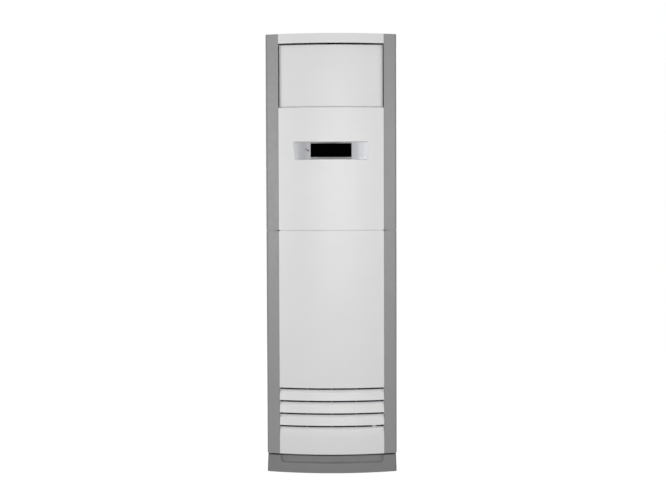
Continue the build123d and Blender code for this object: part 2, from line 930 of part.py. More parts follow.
with BuildPart() as door_pinion_shaft:
    extrude(
        side_circle(-pinion_shaft_half, pinion_y, pinion_level, pinion_shaft_radius),
        amount=2 * pinion_shaft_half,
    )
    for side in (-1, 1):
        near, far = sorted((side * (rack_x - rack_width / 2), side * (rack_x + rack_width / 2)))
        flank_step = (pinion_tip - base_radius) / flank_steps
        flank_radii = [base_radius + k * flank_step for k in range(flank_steps + 1)]
        with BuildSketch(Plane.YZ.offset(near)):
            with Locations((pinion_y, pinion_level)):
                Circle(pinion_root)
            for k in range(pinion_teeth):
                middle = pi + k * 2 * pi / pinion_teeth
                rising = [(radius, middle - involute_point(radius)) for radius in flank_radii]
                falling = [(radius, middle + involute_point(radius)) for radius in reversed(flank_radii)]
                foot_angle = involute_point(base_radius)
                around = (
                    [(pinion_root - gear_module / 2, middle - foot_angle)]
                    + rising
                    + falling
                    + [(pinion_root - gear_module / 2, middle + foot_angle)]
                )
                corners = [
                    (pinion_y + radius * cos(angle), pinion_level + radius * sin(angle))
                    for radius, angle in around
                ]
                Polygon(*corners, align=None)
        extrude(amount=far - near)

# Rails that guide the door's tongues
rail_bottom = door_bottom - door_travel - rail_end
rail_height = door_top - rail_bottom
rail_left = column_edge + seat_gap + slide_gap
tongue_end = door_half + tongue_reach
with BuildPart() as door_rails:
    for side in (-1, 1):
        near, far = sorted((side * rail_left, side * (tongue_end + slide_gap + rail_wall)))
        extrude(
            bowed_strip(
                rail_bottom,
                tongue_inset - slide_gap - rail_wall,
                tongue_inset + tongue_thickness + slide_gap + rail_wall,
                near,
                far,
            ),
            amount=rail_height,
        )
        # a web and a foot carry the rail on the side panel's front flange
        web_out = tongue_end + slide_gap + rail_wall
        near, far = sorted((side * (web_out - rail_wall), side * web_out))
        extrude(
            block(rail_bottom, near, far, front_at(web_out, tongue_inset), flange_front - close_gap),
            amount=rail_height,
        )
        near, far = sorted((side * (web_out - rail_wall), side * bracket_end))
        extrude(
            block(
                rail_bottom,
                near,
                far,
                flange_front - close_gap - rail_wall,
                flange_front - close_gap,
            ),
            amount=rail_height,
        )
        near, far = sorted((0, side * (tongue_end + slide_gap)))
        extrude(
            bowed_strip(
                rail_bottom, tongue_inset - slide_gap, tongue_inset + tongue_thickness + slide_gap, near, far
            ),
            amount=rail_height,
            mode=Mode.SUBTRACT,
        )

with BuildPart() as door_motor:
    motor_left = door_motor_x - door_motor_length / 2
    extrude(side_circle(motor_left, pinion_y, pinion_level, door_motor_radius), amount=door_motor_length)
    # its bracket hangs from the outlet frame
    extrude(
        block(
            frame_bottom - seat_gap - bracket_sheet,
            motor_left,
            motor_left + door_motor_length,
            pinion_y,
            frame_front + door_motor_radius,
        ),
        amount=bracket_sheet,
    )
    extrude(
        side_circle(motor_left, pinion_y, pinion_level, pinion_shaft_radius + running_gap),
        amount=door_motor_length,
        mode=Mode.SUBTRACT,
    )

# Outlet frame with ears for the pinion shaft, the louver pivots and the vane pivots
frame_height = frame_top - frame_bottom
louver_gap = (frame_height - 2 * frame_wall) / louver_count
louver_levels = [frame_bottom + frame_wall + (k + 1 / 2) * louver_gap for k in range(louver_count)]
vane_places = [(k - (vane_count - 1) / 2) * vane_pitch for k in range(vane_count)]
with BuildPart() as outlet_frame:
    extrude(block(frame_bottom, -frame_half, frame_half, frame_front, frame_back), amount=frame_height)
    inner_half = frame_half - frame_wall
    extrude(
        block(frame_bottom + frame_wall, -inner_half, inner_half, frame_front, frame_back),
        amount=frame_height - 2 * frame_wall,
        mode=Mode.SUBTRACT,
    )
    for side in (-1, 1):
        near, far = sorted((side * frame_half, side * bracket_end))
        for level in (frame_bottom, frame_top - ear_height):
            extrude(
                block(level, near, far, flange_back + seat_gap, flange_back + seat_gap + frame_wall),
                amount=ear_height,
            )
        near, far = sorted((side * ear_x, side * (ear_x + ear_thickness)))
        ear_bottom = pinion_level - ear_reach
        extrude(
            block(ear_bottom, near, far, pinion_y - ear_reach, frame_front + ear_reach),
            amount=frame_bottom - ear_bottom,
        )
        extrude(
            side_circle(near, pinion_y, pinion_level, pinion_shaft_radius + running_gap),
            amount=ear_thickness,
            mode=Mode.SUBTRACT,
        )
    for level in louver_levels:
        extrude(
            side_circle(-frame_half, louver_y, level, pivot_radius + running_gap),
            amount=2 * frame_half,
            mode=Mode.SUBTRACT,
        )
    with BuildSketch(Plane.XY.offset(frame_bottom)):
        with Locations([(x, vane_y) for x in vane_places]):
            Circle(pivot_radius + running_gap)
    extrude(amount=frame_height, mode=Mode.SUBTRACT)

# Louvers: level blades that tilt together, joined by a link at their left ends
blade_half = frame_half - frame_wall - louver_end_gap


def build_louver(number):
    level = louver_levels[number - 1]
    with BuildPart() as louver:
        with BuildSketch(Plane.YZ.offset(-blade_half)):
            with Locations((louver_y, level)):
                Ellipse(louver_chord / 2, louver_thickness / 2 + edge_round)
                Rectangle(louver_chord, louver_thickness, mode=Mode.INTERSECT)
                Circle(pivot_radius + edge_round)
        extrude(amount=2 * blade_half)
        pin_end = frame_half
        extrude(side_circle(-frame_half, louver_y, level, pivot_radius), amount=frame_half)
        if number == motor_louver_index + 1:
            pin_end = frame_half + swing_motor_length
        extrude(side_circle(0, louver_y, level, pivot_radius), amount=pin_end)
        crank_end = -blade_half - link_gap - link_thickness - link_gap
        extrude(side_circle(crank_end, louver_y + louver_crank, level, crank_radius), amount=-crank_end)
    return louver.part


with BuildPart() as louver_link:
    link_left = -blade_half - link_gap - link_thickness
    with BuildSketch(Plane.YZ.offset(link_left)):
        link_middle = (louver_levels[0] + louver_levels[-1]) / 2
        with Locations((louver_y + louver_crank, link_middle)):
            SlotOverall(louver_levels[-1] - louver_levels[0] + 2 * link_width, link_width, rotation=90)
        with Locations([(louver_y + louver_crank, level) for level in louver_levels]):
            Circle(crank_radius + running_gap, mode=Mode.SUBTRACT)
    extrude(amount=link_thickness)

# Vanes: upright blades behind the louvers, joined by a link at their lower ends
vane_bottom = frame_bottom + frame_wall + vane_end_gap
vane_top = frame_top - frame_wall - vane_end_gap


def build_vane(number):
    x = vane_places[number - 1]
    with BuildPart() as vane:
        with BuildSketch(Plane.XY.offset(vane_bottom)):
            with Locations((x, vane_y)):
                Ellipse(vane_thickness / 2 + edge_round, vane_chord / 2)
                Rectangle(vane_thickness, vane_chord, mode=Mode.INTERSECT)
                Circle(pivot_radius)
        extrude(amount=vane_top - vane_bottom)
        with BuildSketch(Plane.XY.offset(frame_bottom)):
            with Locations((x, vane_y)):
                Circle(pivot_radius)
        pin_top = frame_top
        if number == motor_vane_index + 1:
            pin_top = frame_top + swing_motor_length
        extrude(amount=pin_top - frame_bottom)
        crank_low = vane_bottom - link_gap - link_thickness - link_gap / 2
        with BuildSketch(Plane.XY.offset(crank_low)):
            with Locations((x, vane_y + vane_crank)):
                Circle(crank_radius)
        extrude(amount=vane_bottom + edge_round - crank_low)
    return vane.part


with BuildPart() as vane_link:
    with BuildSketch(Plane.XY.offset(vane_bottom - link_gap - link_thickness)):
        with Locations((0, vane_y + vane_crank)):
            SlotOverall(vane_places[-1] - vane_places[0] + 2 * link_width, link_width)
        with Locations([(x, vane_y + vane_crank) for x in vane_places]):
            Circle(crank_radius + running_gap, mode=Mode.SUBTRACT)
    extrude(amount=link_thickness)

with BuildPart() as swing_motors:
    level = louver_levels[motor_louver_index]
    extrude(
        side_circle(frame_half + seat_gap, louver_y, level, swing_motor_radius),
        amount=swing_motor_length + frame_wall,
    )
    extrude(
        side_circle(frame_half + seat_gap, louver_y, level, pivot_radius + running_gap),
        amount=swing_motor_length,
        mode=Mode.SUBTRACT,
    )
    with BuildSketch(Plane.XY.offset(frame_top + seat_gap)):
        with Locations((vane_places[motor_vane_index], vane_y)):
            Circle(swing_motor_radius)
    extrude(amount=swing_motor_length + frame_wall)
    with BuildSketch(Plane.XY.offset(frame_top + seat_gap)):
        with Locations((vane_places[motor_vane_index], vane_y)):
            Circle(pivot_radius + running_gap)
    extrude(amount=swing_motor_length, mode=Mode.SUBTRACT)

# Lower front panel: a bowed skin with an intake grille of tilted slats
with BuildPart() as lower_front_panel:
    # slats and the two skin edges beside them, turned round the bow's axis
    with BuildSketch(Plane.YZ):
        for k in range(slot_count):
            low = slot_levels[k] + slot_opening / 2
            high = low + slot_pitch - slot_opening
            lean = slat_tilt
            if k == slot_count - 1:
                high = lower_panel_top
                lean = 0
            Polygon(
                (-half_depth, low),
                (-half_depth + lean, high),
                (-half_depth + lean + plastic_wall, high),
                (-half_depth + plastic_wall, low),
                align=None,
            )
        low = slot_levels[0] + slot_opening / 2 - slot_pitch
        high = slot_levels[0] - slot_opening / 2
        Polygon(
            (-half_depth, panel_bottom),
            (-half_depth, low),
            (-half_depth + slat_tilt, high),
            (-half_depth + slat_tilt + plastic_wall, high),
            (-half_depth + plastic_wall, low),
            (-half_depth + plastic_wall, panel_bottom),
            align=None,
        )
    revolve(axis=Axis((0, front_centre, 0), (0, 0, 1)))
    extrude(
        block(panel_bottom, -panel_half, panel_half, -cabinet_depth, 0),
        amount=lower_panel_top - panel_bottom,
        mode=Mode.INTERSECT,
    )
    rim_height = lower_panel_top - seam_height - panel_bottom
    for side in (-1, 1):
        near, far = sorted((side * (panel_half - plastic_wall), side * panel_half))
        extrude(bowed_strip(panel_bottom, slat_tilt, lower_rim, near, far), amount=rim_height)
        near, far = sorted((side * grille_half, side * panel_half))
        rib_front = slat_tilt + plastic_wall / 2
        extrude(
            bowed_strip(panel_bottom, rib_front, rib_front + plastic_wall, near, far),
            amount=slot_levels[-1] + slot_opening - panel_bottom,
        )
    for level in (panel_bottom, lower_panel_top - top_rib_drop):
        extrude(
            bowed_strip(level, plastic_wall / 2, lower_rim, -panel_half, panel_half), amount=plastic_wall
        )
    # upright ribs carry the slats from behind
    rib_bottom = slot_levels[0] - slat_rib_margin
    rib_top = slot_levels[-1] + slat_rib_margin
    for k in range(slat_rib_count):
        rib_middle = (k - (slat_rib_count - 1) / 2) * slat_rib_pitch
        extrude(
            bowed_strip(
                rib_bottom,
                slat_rib_inset,
                slat_rib_inset + slat_rib_depth,
                rib_middle - slat_rib_thickness / 2,
                rib_middle + slat_rib_thickness / 2,
            ),
            amount=rib_top - rib_bottom,
        )
    rib_depth_end = slat_rib_inset + slat_rib_depth
    extrude(
        bowed_strip(rib_top - plastic_wall, plastic_wall / 2, rib_depth_end, -panel_half, panel_half),
        amount=plastic_wall,
    )
    # guides and a stop for the air filter: a wall, a lip behind it and a shelf at its foot
    guide_in = filter_half + filter_clearance
    lip_front = filter_inset + filter_thickness + filter_clearance
    for side in (-1, 1):
        for front, inner, height in (
            (plastic_wall / 2, guide_in, guide_height),
            (lip_front, filter_half - filter_border / 2, guide_height),
            (plastic_wall / 2, filter_half - filter_border, guide_wall),
        ):
            near, far = sorted((side * inner, side * (guide_in + guide_wall)))
            guide = bowed_strip(filter_bottom - guide_wall, front, lip_front + guide_wall, near, far)
            extrude(guide, amount=height)
    # the top edge is rounded where it meets the seam
    fillet(lower_front_panel.edges().group_by(Axis.Z)[-1].sort_by(Axis.Y)[:1], edge_round)

# Air filter: a moulded frame with bars, and its mesh in the frame's middle
filter_middle = filter_inset + filter_thickness / 2
pane_total = 2 * (filter_half - filter_border) - (filter_panes - 1) * filter_bar
pane_half = pane_total / filter_panes / 2
pane_pitch = 2 * pane_half + filter_bar
pane_middles = [(k - (filter_panes - 1) / 2) * pane_pitch for k in range(filter_panes)]


def filter_strip(near, far, border, left, right):
    """A strip of the filter, between two depths, that keeps a border at its foot and top."""
    strip = bowed_strip(filter_bottom + border, near, far, left, right)
    return extrude(strip, amount=filter_height - 2 * border, mode=Mode.PRIVATE)


with BuildPart() as filter_frame:
    filter_back = filter_inset + filter_thickness
    add(filter_strip(filter_inset, filter_back, 0, -filter_half, filter_half))
    for middle in pane_middles:
        pane = filter_strip(0, lower_rim + filter_back, filter_border, middle - pane_half, middle + pane_half)
        add(pane, mode=Mode.SUBTRACT)

with BuildPart() as filter_mesh:
    near = filter_middle - filter_mesh_thickness / 2
    for middle in pane_middles:
        add(
            filter_strip(
                near, near + filter_mesh_thickness, filter_border, middle - pane_half, middle + pane_half
            )
        )

# Hinge of the lower panel: swan-necked arms on the panel turn on pins in the cabinet
with BuildPart() as panel_hinge_arms:
    for side in (-1, 1):
        near = min(side * arm_x, side * (arm_x + arm_thickness))
        arm_front = front_at(arm_x, plastic_wall) + seat_gap
        with BuildSketch(Plane.YZ.offset(near)):
            with BuildLine():
                Polyline(
                    (hinge_y, hinge_level),
                    (arm_back, hinge_level - hinge_eye),
                    (arm_back, arm_low),
                    (hinge_y, arm_low - arm_width / 2),
                )
                offset(amount=arm_width / 2, side=Side.BOTH)
            make_face()
            with Locations((hinge_y, hinge_level)):
                Circle(hinge_eye)
            with Locations((arm_front + arm_width / 2, arm_low - arm_foot_height / 2)):
                Rectangle(arm_width, arm_foot_height)
        extrude(amount=arm_thickness)
        extrude(
            side_circle(near, hinge_y, hinge_level, hinge_pin_radius + running_gap),
            amount=arm_thickness,
            mode=Mode.SUBTRACT,
        )
    extrude(
        bowed_strip(0, 0, plastic_wall + seat_gap, -half_width, half_width),
        amount=cabinet_height,
        mode=Mode.SUBTRACT,
    )

with BuildPart() as hinge_brackets:
    for side in (-1, 1):
        near, far = sorted((side * bracket_x, side * (bracket_x + bracket_sheet)))
        low = hinge_level - bracket_half_height
        back = flange_front - close_gap
        extrude(
            block(low, near, far, hinge_y - hinge_eye / 2, back), amount=2 * bracket_half_height
        )
        near, far = sorted((side * bracket_x, side * (bracket_x + bracket_foot)))
        extrude(block(low, near, far, back - bracket_sheet, back), amount=2 * bracket_half_height)
        pin_inner = min(side * (arm_x - bracket_sheet), side * bracket_x)
        extrude(
            side_circle(pin_inner, hinge_y, hinge_level, hinge_pin_radius),
            amount=bracket_x - arm_x + bracket_sheet,
        )

# Cross beam between the side panels
beam_half = side_inner - seat_gap
beam_top = beam_bottom + beam_height
with BuildPart() as cross_beam:
    with BuildSketch(Plane.YZ.offset(-beam_half)):
        with Locations((beam_front + beam_depth / 2, beam_bottom + beam_height / 2)):
            Rectangle(beam_depth, beam_height)
        with Locations((beam_front + beam_depth / 2 + bracket_sheet, beam_bottom + beam_height / 2)):
            Rectangle(beam_depth, beam_height - 2 * bracket_sheet, mode=Mode.SUBTRACT)
    extrude(amount=2 * beam_half)

# Coil: upright fins on one long bent tube, between two end plates, leaning back
lean_sin = sin(radians(coil_tilt))
lean_cos = cos(radians(coil_tilt))
pan_floor = beam_top + seat_gap + plastic_wall
plate_half_length = coil_length / 2 + end_plate_foot
plate_half_thick = coil_thickness / 2 + end_plate_edge
coil_level = pan_floor + seat_gap + plate_half_length * lean_cos + plate_half_thick * lean_sin


def coil_plane(x):
    """A plane across the X axis whose own x runs up along the coil."""
    return Plane(origin=(x, coil_y, coil_level), x_dir=(0, lean_sin, lean_cos), z_dir=(1, 0, 0))


tube_pitch = coil_length / tubes_per_row
tube_places = [(k - (tubes_per_row - 1) / 2) * tube_pitch for k in range(tubes_per_row)]
plate_inner = coil_half + fin_thickness


def coil_holes():
    """Cuts the holes for both rows of tubes in the sketch that is open."""
    for across in (-row_spacing / 2, row_spacing / 2):
        with Locations([(along, across) for along in tube_places]):
            Circle(tube_radius + tube_gap, mode=Mode.SUBTRACT)


fin_spacing = 2 * coil_half / (fin_count - 1)
with BuildSketch(coil_plane(-coil_half - fin_thickness / 2)) as fin_face:
    Rectangle(coil_length, coil_thickness)
    coil_holes()
with BuildPart() as single_fin:
    extrude(fin_face.sketch, amount=fin_thickness)
with BuildPart() as fin_pack:
    for k in range(fin_count):
        add(single_fin.part.moved(Location((k * fin_spacing, 0, 0))))

with BuildPart() as coil_end_plates:
    for x in (-plate_inner - fin_thickness, plate_inner):
        with BuildSketch(coil_plane(x)):
            Rectangle(2 * plate_half_length, 2 * plate_half_thick)
            coil_holes()
        extrude(amount=fin_thickness)


def coil_point(x, along, across):
    return coil_plane(x).from_local_coords(Vector(along, across, 0))


turn_x = plate_inner + fin_thickness + tube_overhang + tube_pitch / 2
exit_x = plate_inner + fin_thickness + tube_end
route = [coil_point(exit_x, tube_places[-1], -row_spacing / 2)]
bends = []
bend = tube_pitch / 2 - running_gap
for row, across in ((0, -row_spacing / 2), (1, row_spacing / 2)):
    order = reversed(tube_places) if row == 0 else tube_places
    for k, along in enumerate(order):
        inward = -turn_x if k % 2 == 0 else turn_x
        if k > 0:
            route.append(coil_point(-inward, along, across))
            bends.append(bend)
        elif row == 1:
            route.append(coil_point(turn_x - bend + row_spacing / 2, along, across))
            bends.append(row_spacing / 2 - running_gap)
        if k < tubes_per_row - 1:
            route.append(coil_point(inward, along, across))
            bends.append(bend)
        elif row == 0:
            route.append(coil_point(turn_x - bend + row_spacing / 2, along, across))
            bends.append(row_spacing / 2 - running_gap)
route.append(coil_point(exit_x, tube_places[-1], row_spacing / 2))
with BuildPart() as coil_tubes:
    with BuildLine():
        FilletPolyline(*route, radius=bends)
    with BuildSketch(Plane(origin=route[0], z_dir=(-1, 0, 0))):
        Circle(tube_radius)
    sweep()

with BuildPart() as drain_pan:
    pan_half = side_inner - seat_gap
    pan_bottom = beam_top + seat_gap
    extrude(block(pan_bottom, -pan_half, pan_half, pan_front, pan_back), amount=pan_height)
    extrude(
        block(
            pan_floor,
            plastic_wall - pan_half,
            pan_half - plastic_wall,
            pan_front + plastic_wall,
            pan_back - plastic_wall,
        ),
        amount=pan_height,
        mode=Mode.SUBTRACT,
    )
    with BuildSketch(Plane.XY.offset(pan_bottom)):
        with Locations((spigot_x, spigot_y)):
            Circle(spigot_radius)
    extrude(amount=-spigot_length)
    with BuildSketch(Plane.XY.offset(pan_floor)):
        with Locations((spigot_x, spigot_y)):
            Circle(spigot_bore)
    extrude(amount=-spigot_length - plastic_wall, mode=Mode.SUBTRACT)

hose_top = pan_bottom - seat_gap
with BuildPart() as drain_hose:
    with BuildLine():
        FilletPolyline(
            (spigot_x, spigot_y, hose_top),
            (spigot_x, spigot_y, hole_level),
            (hole_x, (spigot_y + hose_end_y) / 2, hole_level),
            (hole_x, hose_end_y, hole_level),
            radius=hose_bend,
        )
    with BuildSketch(Plane(origin=(spigot_x, spigot_y, hose_top), z_dir=(0, 0, -1))):
        Circle(hose_radius)
        Circle(hose_bore, mode=Mode.SUBTRACT)
    sweep()

# Refrigerant pipes from the coil down to their unions
gas_start = coil_point(exit_x + seat_gap, tube_places[-1], -row_spacing / 2)
liquid_start = coil_point(exit_x + seat_gap, tube_places[-1], row_spacing / 2)
thread_top = union_level - hex_height


def pipe_run(start, radius, x, y):
    """A pipe out of the coil's end, down the cabinet's corner and across to its union."""
    with BuildPart() as pipe:
        with BuildLine():
            FilletPolyline(
                (start.X, start.Y, start.Z),
                (pipe_x, start.Y, start.Z),
                (pipe_x, start.Y, pipe_shift_level),
                (x, y, pipe_shift_level - pipe_shift_drop),
                (x, y, union_level + seat_gap),
                radius=pipe_bend,
            )
        with BuildSketch(Plane(origin=start, z_dir=(1, 0, 0))):
            Circle(radius)
        sweep()
    return pipe.part


with BuildPart() as gas_pipe:
    add(pipe_run(gas_start, gas_radius, gas_union_x, gas_union_y))

with BuildPart() as liquid_pipe:
    add(pipe_run(liquid_start, liquid_radius, liquid_union_x, liquid_union_y))

with BuildPart() as flare_unions:
    for x, y, radius in (
        (gas_union_x, gas_union_y, gas_thread_radius),
        (liquid_union_x, liquid_union_y, liquid_thread_radius),
    ):
        with BuildSketch(Plane.XY.offset(thread_top)):
            with Locations((x, y)):
                RegularPolygon(radius + hex_extra, hex_sides, rotation=180 / hex_sides)
        extrude(amount=hex_height)
        with BuildSketch(Plane.XY.offset(thread_top)):
            with Locations((x, y)):
                Circle(radius)
        extrude(amount=-thread_length)


# Centrifugal fan in its volute, with the motor behind
def scroll_outline(y, wall):
    """The volute's outline, with its wall: three quarter turns that widen, and a straight outlet."""
    second_radius = scroll_radius + scroll_step
    third_radius = second_radius + scroll_step
    second_x = fan_x - scroll_step
    third_level = fan_level + scroll_step
    outlet_x = second_x - third_radius
    with BuildSketch(standing(y)) as outline:
        with BuildLine():
            Line((fan_x, scroll_top), (fan_x, fan_level + scroll_radius))
            CenterArc((fan_x, fan_level), scroll_radius, 90, -90)
            CenterArc((second_x, fan_level), second_radius, 0, -90)
            CenterArc((second_x, third_level), third_radius, -90, -90)
            Line((outlet_x, third_level), (outlet_x, scroll_top))
            Line((outlet_x, scroll_top), (fan_x, scroll_top))
        make_face()
        if wall > 0:
            offset(amount=wall, kind=Kind.INTERSECTION)
        with Locations((0, scroll_top / 2)):
            Rectangle(cabinet_width, scroll_top, mode=Mode.INTERSECT)
    return outline.sketch


with BuildPart() as volute_casing:
    extrude(scroll_outline(-scroll_half, scroll_wall), amount=-(2 * scroll_half + scroll_wall))
    for side in (-1, 1):
        middle = fan_x - scroll_step + side * casing_leg_spacing
        extrude(
            block(
                tray_top + seat_gap,
                middle - casing_leg_width / 2,
                middle + casing_leg_width / 2,
                -scroll_half,
                scroll_half,
            ),
            amount=fan_level - scroll_radius / 2 - tray_top,
        )
    extrude(scroll_outline(-scroll_half, 0), amount=-2 * scroll_half, mode=Mode.SUBTRACT)
    extrude(
        round_at(scroll_half, fan_x, fan_level, hub_radius + scroll_wall),
        amount=-scroll_wall,
        mode=Mode.SUBTRACT,
    )

cover_back = -scroll_half
with BuildPart() as volute_cover:
    extrude(scroll_outline(cover_back, scroll_wall), amount=scroll_wall)
    extrude(
        round_at(cover_back, fan_x, fan_level, inlet_radius + scroll_wall),
        amount=scroll_wall,
        mode=Mode.SUBTRACT,
    )
    # the bell mouth that leads the air into the wheel
    with BuildSketch(Plane.YZ.offset(fan_x)):
        with BuildLine():
            bell_front = cover_back - scroll_wall - bell_reach
            ring_low = fan_level + inlet_radius
            ring_high = ring_low + bell_reach
            Polyline(
                (cover_back, ring_low),
                (cover_back, ring_low + 2 * scroll_wall),
                (cover_back - scroll_wall, ring_low + 2 * scroll_wall),
                (bell_front, ring_high + scroll_wall),
                (bell_front, ring_high),
            )
            TangentArc((cover_back, ring_low), (bell_front, ring_high), tangent=(-1, 0))
        make_face()
    revolve(axis=Axis((fan_x, 0, fan_level), (0, 1, 0)))

with BuildPart() as fan_wheel:
    extrude(round_at(wheel_half - wheel_plate, fan_x, fan_level, wheel_radius), amount=-wheel_plate)
    extrude(round_at(wheel_half - hub_length, fan_x, fan_level, hub_radius), amount=-hub_length)
    with BuildSketch(standing(-wheel_half)):
        with Locations((fan_x, fan_level)):
            Circle(wheel_radius)
            Circle(wheel_radius - wheel_ring, mode=Mode.SUBTRACT)
    extrude(amount=-wheel_plate)
    with BuildSketch(standing(-wheel_half + wheel_plate / 2)):
        with Locations((fan_x, fan_level)):
            with PolarLocations(wheel_radius - blade_depth / 2 - edge_round, blade_count):
                with Locations(Location((0, 0, 0), (0, 0, blade_sweep))):
                    Rectangle(blade_depth, blade_thickness)
    extrude(amount=-(2 * wheel_half - wheel_plate))
    hub_bore = shaft_radius + running_gap
    extrude(round_at(-wheel_half, fan_x, fan_level, hub_bore), amount=-2 * wheel_half, mode=Mode.SUBTRACT)

motor_plate_front = scroll_half + scroll_wall + motor_plate_gap
motor_front = motor_plate_front + bracket_sheet + seat_gap
with BuildPart() as motor_shaft:
    extrude(
        round_at(shaft_front, fan_x, fan_level, shaft_radius),
        amount=-(motor_front + shaft_in_motor - shaft_front),
    )

with BuildPart() as wheel_nut:
    with BuildSketch(standing(wheel_half - hub_length - nut_height)):
        with Locations((fan_x, fan_level)):
            RegularPolygon(nut_radius, hex_sides)
            Circle(hub_bore, mode=Mode.SUBTRACT)
    extrude(amount=-nut_height)

with BuildPart() as fan_motor:
    extrude(round_at(motor_front, fan_x, fan_level, motor_radius), amount=-motor_length)
    fillet(fan_motor.edges().filter_by(GeomType.CIRCLE), motor_round)
    extrude(
        round_at(motor_front - motor_boss_length, fan_x, fan_level, motor_boss_radius),
        amount=-2 * motor_boss_length,
    )
    extrude(
        round_at(motor_front - motor_boss_length, fan_x, fan_level, shaft_radius + running_gap),
        amount=-(shaft_in_motor + motor_boss_length + seat_gap),
        mode=Mode.SUBTRACT,
    )

with BuildPart() as motor_bracket:
    plate_low = tray_top + seat_gap
    extrude(
        block(
            plate_low,
            fan_x - motor_plate_half,
            fan_x + motor_plate_half,
            motor_plate_front,
            motor_plate_front + bracket_sheet,
        ),
        amount=fan_level + motor_plate_above - plate_low,
    )
    extrude(
        block(
            plate_low,
            fan_x - motor_plate_half,
            fan_x + motor_plate_half,
            motor_plate_front,
            motor_plate_front + motor_foot,
        ),
        amount=bracket_sheet,
    )
    for side in (-1, 1):
        near, far = sorted(
            (fan_x + side * (motor_plate_half - bracket_sheet), fan_x + side * motor_plate_half)
        )
        with BuildSketch(Plane.YZ.offset(near)):
            Polygon(
                (motor_plate_front, plate_low),
                (motor_plate_front + motor_foot, plate_low),
                (motor_plate_front + bracket_sheet, fan_level),
                (motor_plate_front, fan_level),
                align=None,
            )
        extrude(amount=bracket_sheet)
    extrude(
        round_at(motor_plate_front, fan_x, fan_level, motor_boss_radius + seat_gap),
        amount=-bracket_sheet,
        mode=Mode.SUBTRACT,
    )

# Control box hung from the cross beam
box_top = beam_bottom - seat_gap
box_bottom = box_top - box_height
with BuildPart() as control_box:
    extrude(block(box_bottom, box_left, box_right, box_front, box_back), amount=box_height)
    extrude(
        block(
            box_bottom + bracket_sheet,
            box_left + bracket_sheet,
            box_right - bracket_sheet,
            box_front,
            box_back - bracket_sheet,
        ),
        amount=box_height - 2 * bracket_sheet,
        mode=Mode.SUBTRACT,
    )

with BuildPart() as control_box_cover:
    cover_front = box_front - seat_gap - sheet
    extrude(block(box_bottom, box_left, box_right, cover_front, box_front - seat_gap), amount=box_height)

board_back = box_back - bracket_sheet - standoff_height
with BuildPart() as control_board:
    low = box_bottom + bracket_sheet + control_board_margin + 2 * terminal_height
    high = box_top - bracket_sheet - control_board_margin
    left = box_left + bracket_sheet + control_board_margin
    right = box_right - bracket_sheet - control_board_margin
    extrude(block(low, left, right, board_back - board_thickness, board_back), amount=high - low)
    corner_places = [
        (x, level)
        for x in (left + standoff_radius, right - standoff_radius)
        for level in (low + standoff_radius, high - standoff_radius)
    ]
    with BuildSketch(standing(board_back - board_thickness / 2)):
        with Locations(corner_places):
            Circle(standoff_radius)
    extrude(amount=-(standoff_height + board_thickness / 2 - seat_gap))
    with BuildSketch(standing(board_back - board_thickness / 2)):
        with Locations((left + 2 * capacitor_radius, low + 2 * capacitor_radius)):
            Circle(capacitor_radius)
    extrude(amount=capacitor_height)
    with BuildSketch(standing(board_back - board_thickness / 2)):
        with Locations((right - transformer_size, high - transformer_size)):
            Rectangle(transformer_size, transformer_size)
    extrude(amount=capacitor_height)

with BuildPart() as terminal_block:
    terminal_low = box_bottom + bracket_sheet + control_board_margin
    terminal_back = box_back - bracket_sheet - seat_gap
    terminal_middle = (box_left + box_right) / 2
    terminal_half = terminal_cells * terminal_pitch / 2
    extrude(
        block(
            terminal_low,
            terminal_middle - terminal_half,
            terminal_middle + terminal_half,
            terminal_back - terminal_depth,
            terminal_back,
        ),
        amount=terminal_height,
    )
    with BuildSketch(standing(terminal_back - terminal_depth)):
        with Locations((terminal_middle, terminal_low + terminal_height / 2)):
            with GridLocations(terminal_pitch, 0, terminal_cells, 1):
                Rectangle(terminal_cup_width, terminal_cup_height)
    extrude(amount=-terminal_depth / 2, mode=Mode.SUBTRACT)

pieces = {
    "rubber_feet": rubber_feet,
    "base_plate": base_plate,
    "plinth": plinth,
    "upper_columns": upper_columns,
    "lower_columns": lower_columns,
    "left_side_panel": left_side_panel,
    "right_side_panel": right_side_panel,
    "back_panel": back_panel,
    "pipe_grommet": pipe_grommet,
    "cabinet_screws": cabinet_screws,
    "top_cover": top_cover,
    "upper_front_panel": upper_front_panel,
    "display_bezel": display_bezel,
    "display_window": display_window,
    "display_board": display_board,
    "receiver_lens": receiver_lens,
    "manual_button": manual_button,
    "outlet_door": outlet_door,
    "door_racks": door_racks,
    "door_pinion_shaft": door_pinion_shaft,
    "door_rails": door_rails,
    "door_motor": door_motor,
    "outlet_frame": outlet_frame,
    "louver_link": louver_link,
    "vane_link": vane_link,
    "swing_motors": swing_motors,
    "lower_front_panel": lower_front_panel,
    "filter_frame": filter_frame,
    "filter_mesh": filter_mesh,
    "panel_hinge_arms": panel_hinge_arms,
    "hinge_brackets": hinge_brackets,
    "cross_beam": cross_beam,
    "fin_pack": fin_pack,
    "coil_end_plates": coil_end_plates,
    "coil_tubes": coil_tubes,
    "drain_pan": drain_pan,
    "drain_hose": drain_hose,
    "gas_pipe": gas_pipe,
    "liquid_pipe": liquid_pipe,
    "flare_unions": flare_unions,
    "volute_casing": volute_casing,
    "volute_cover": volute_cover,
    "fan_wheel": fan_wheel,
    "motor_shaft": motor_shaft,
    "wheel_nut": wheel_nut,
    "fan_motor": fan_motor,
    "motor_bracket": motor_bracket,
    "control_box": control_box,
    "control_box_cover": control_box_cover,
    "control_board": control_board,
    "terminal_block": terminal_block,
}
for name, piece in pieces.items():
    finish(piece.part, name)
for number in range(1, louver_count + 1):
    finish(build_louver(number), f"louver_{number}")
for number in range(1, vane_count + 1):
    finish(build_vane(number), f"vane_{number}")
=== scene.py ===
import json
import math

import bmesh
import bpy
from mathutils import Matrix, Vector

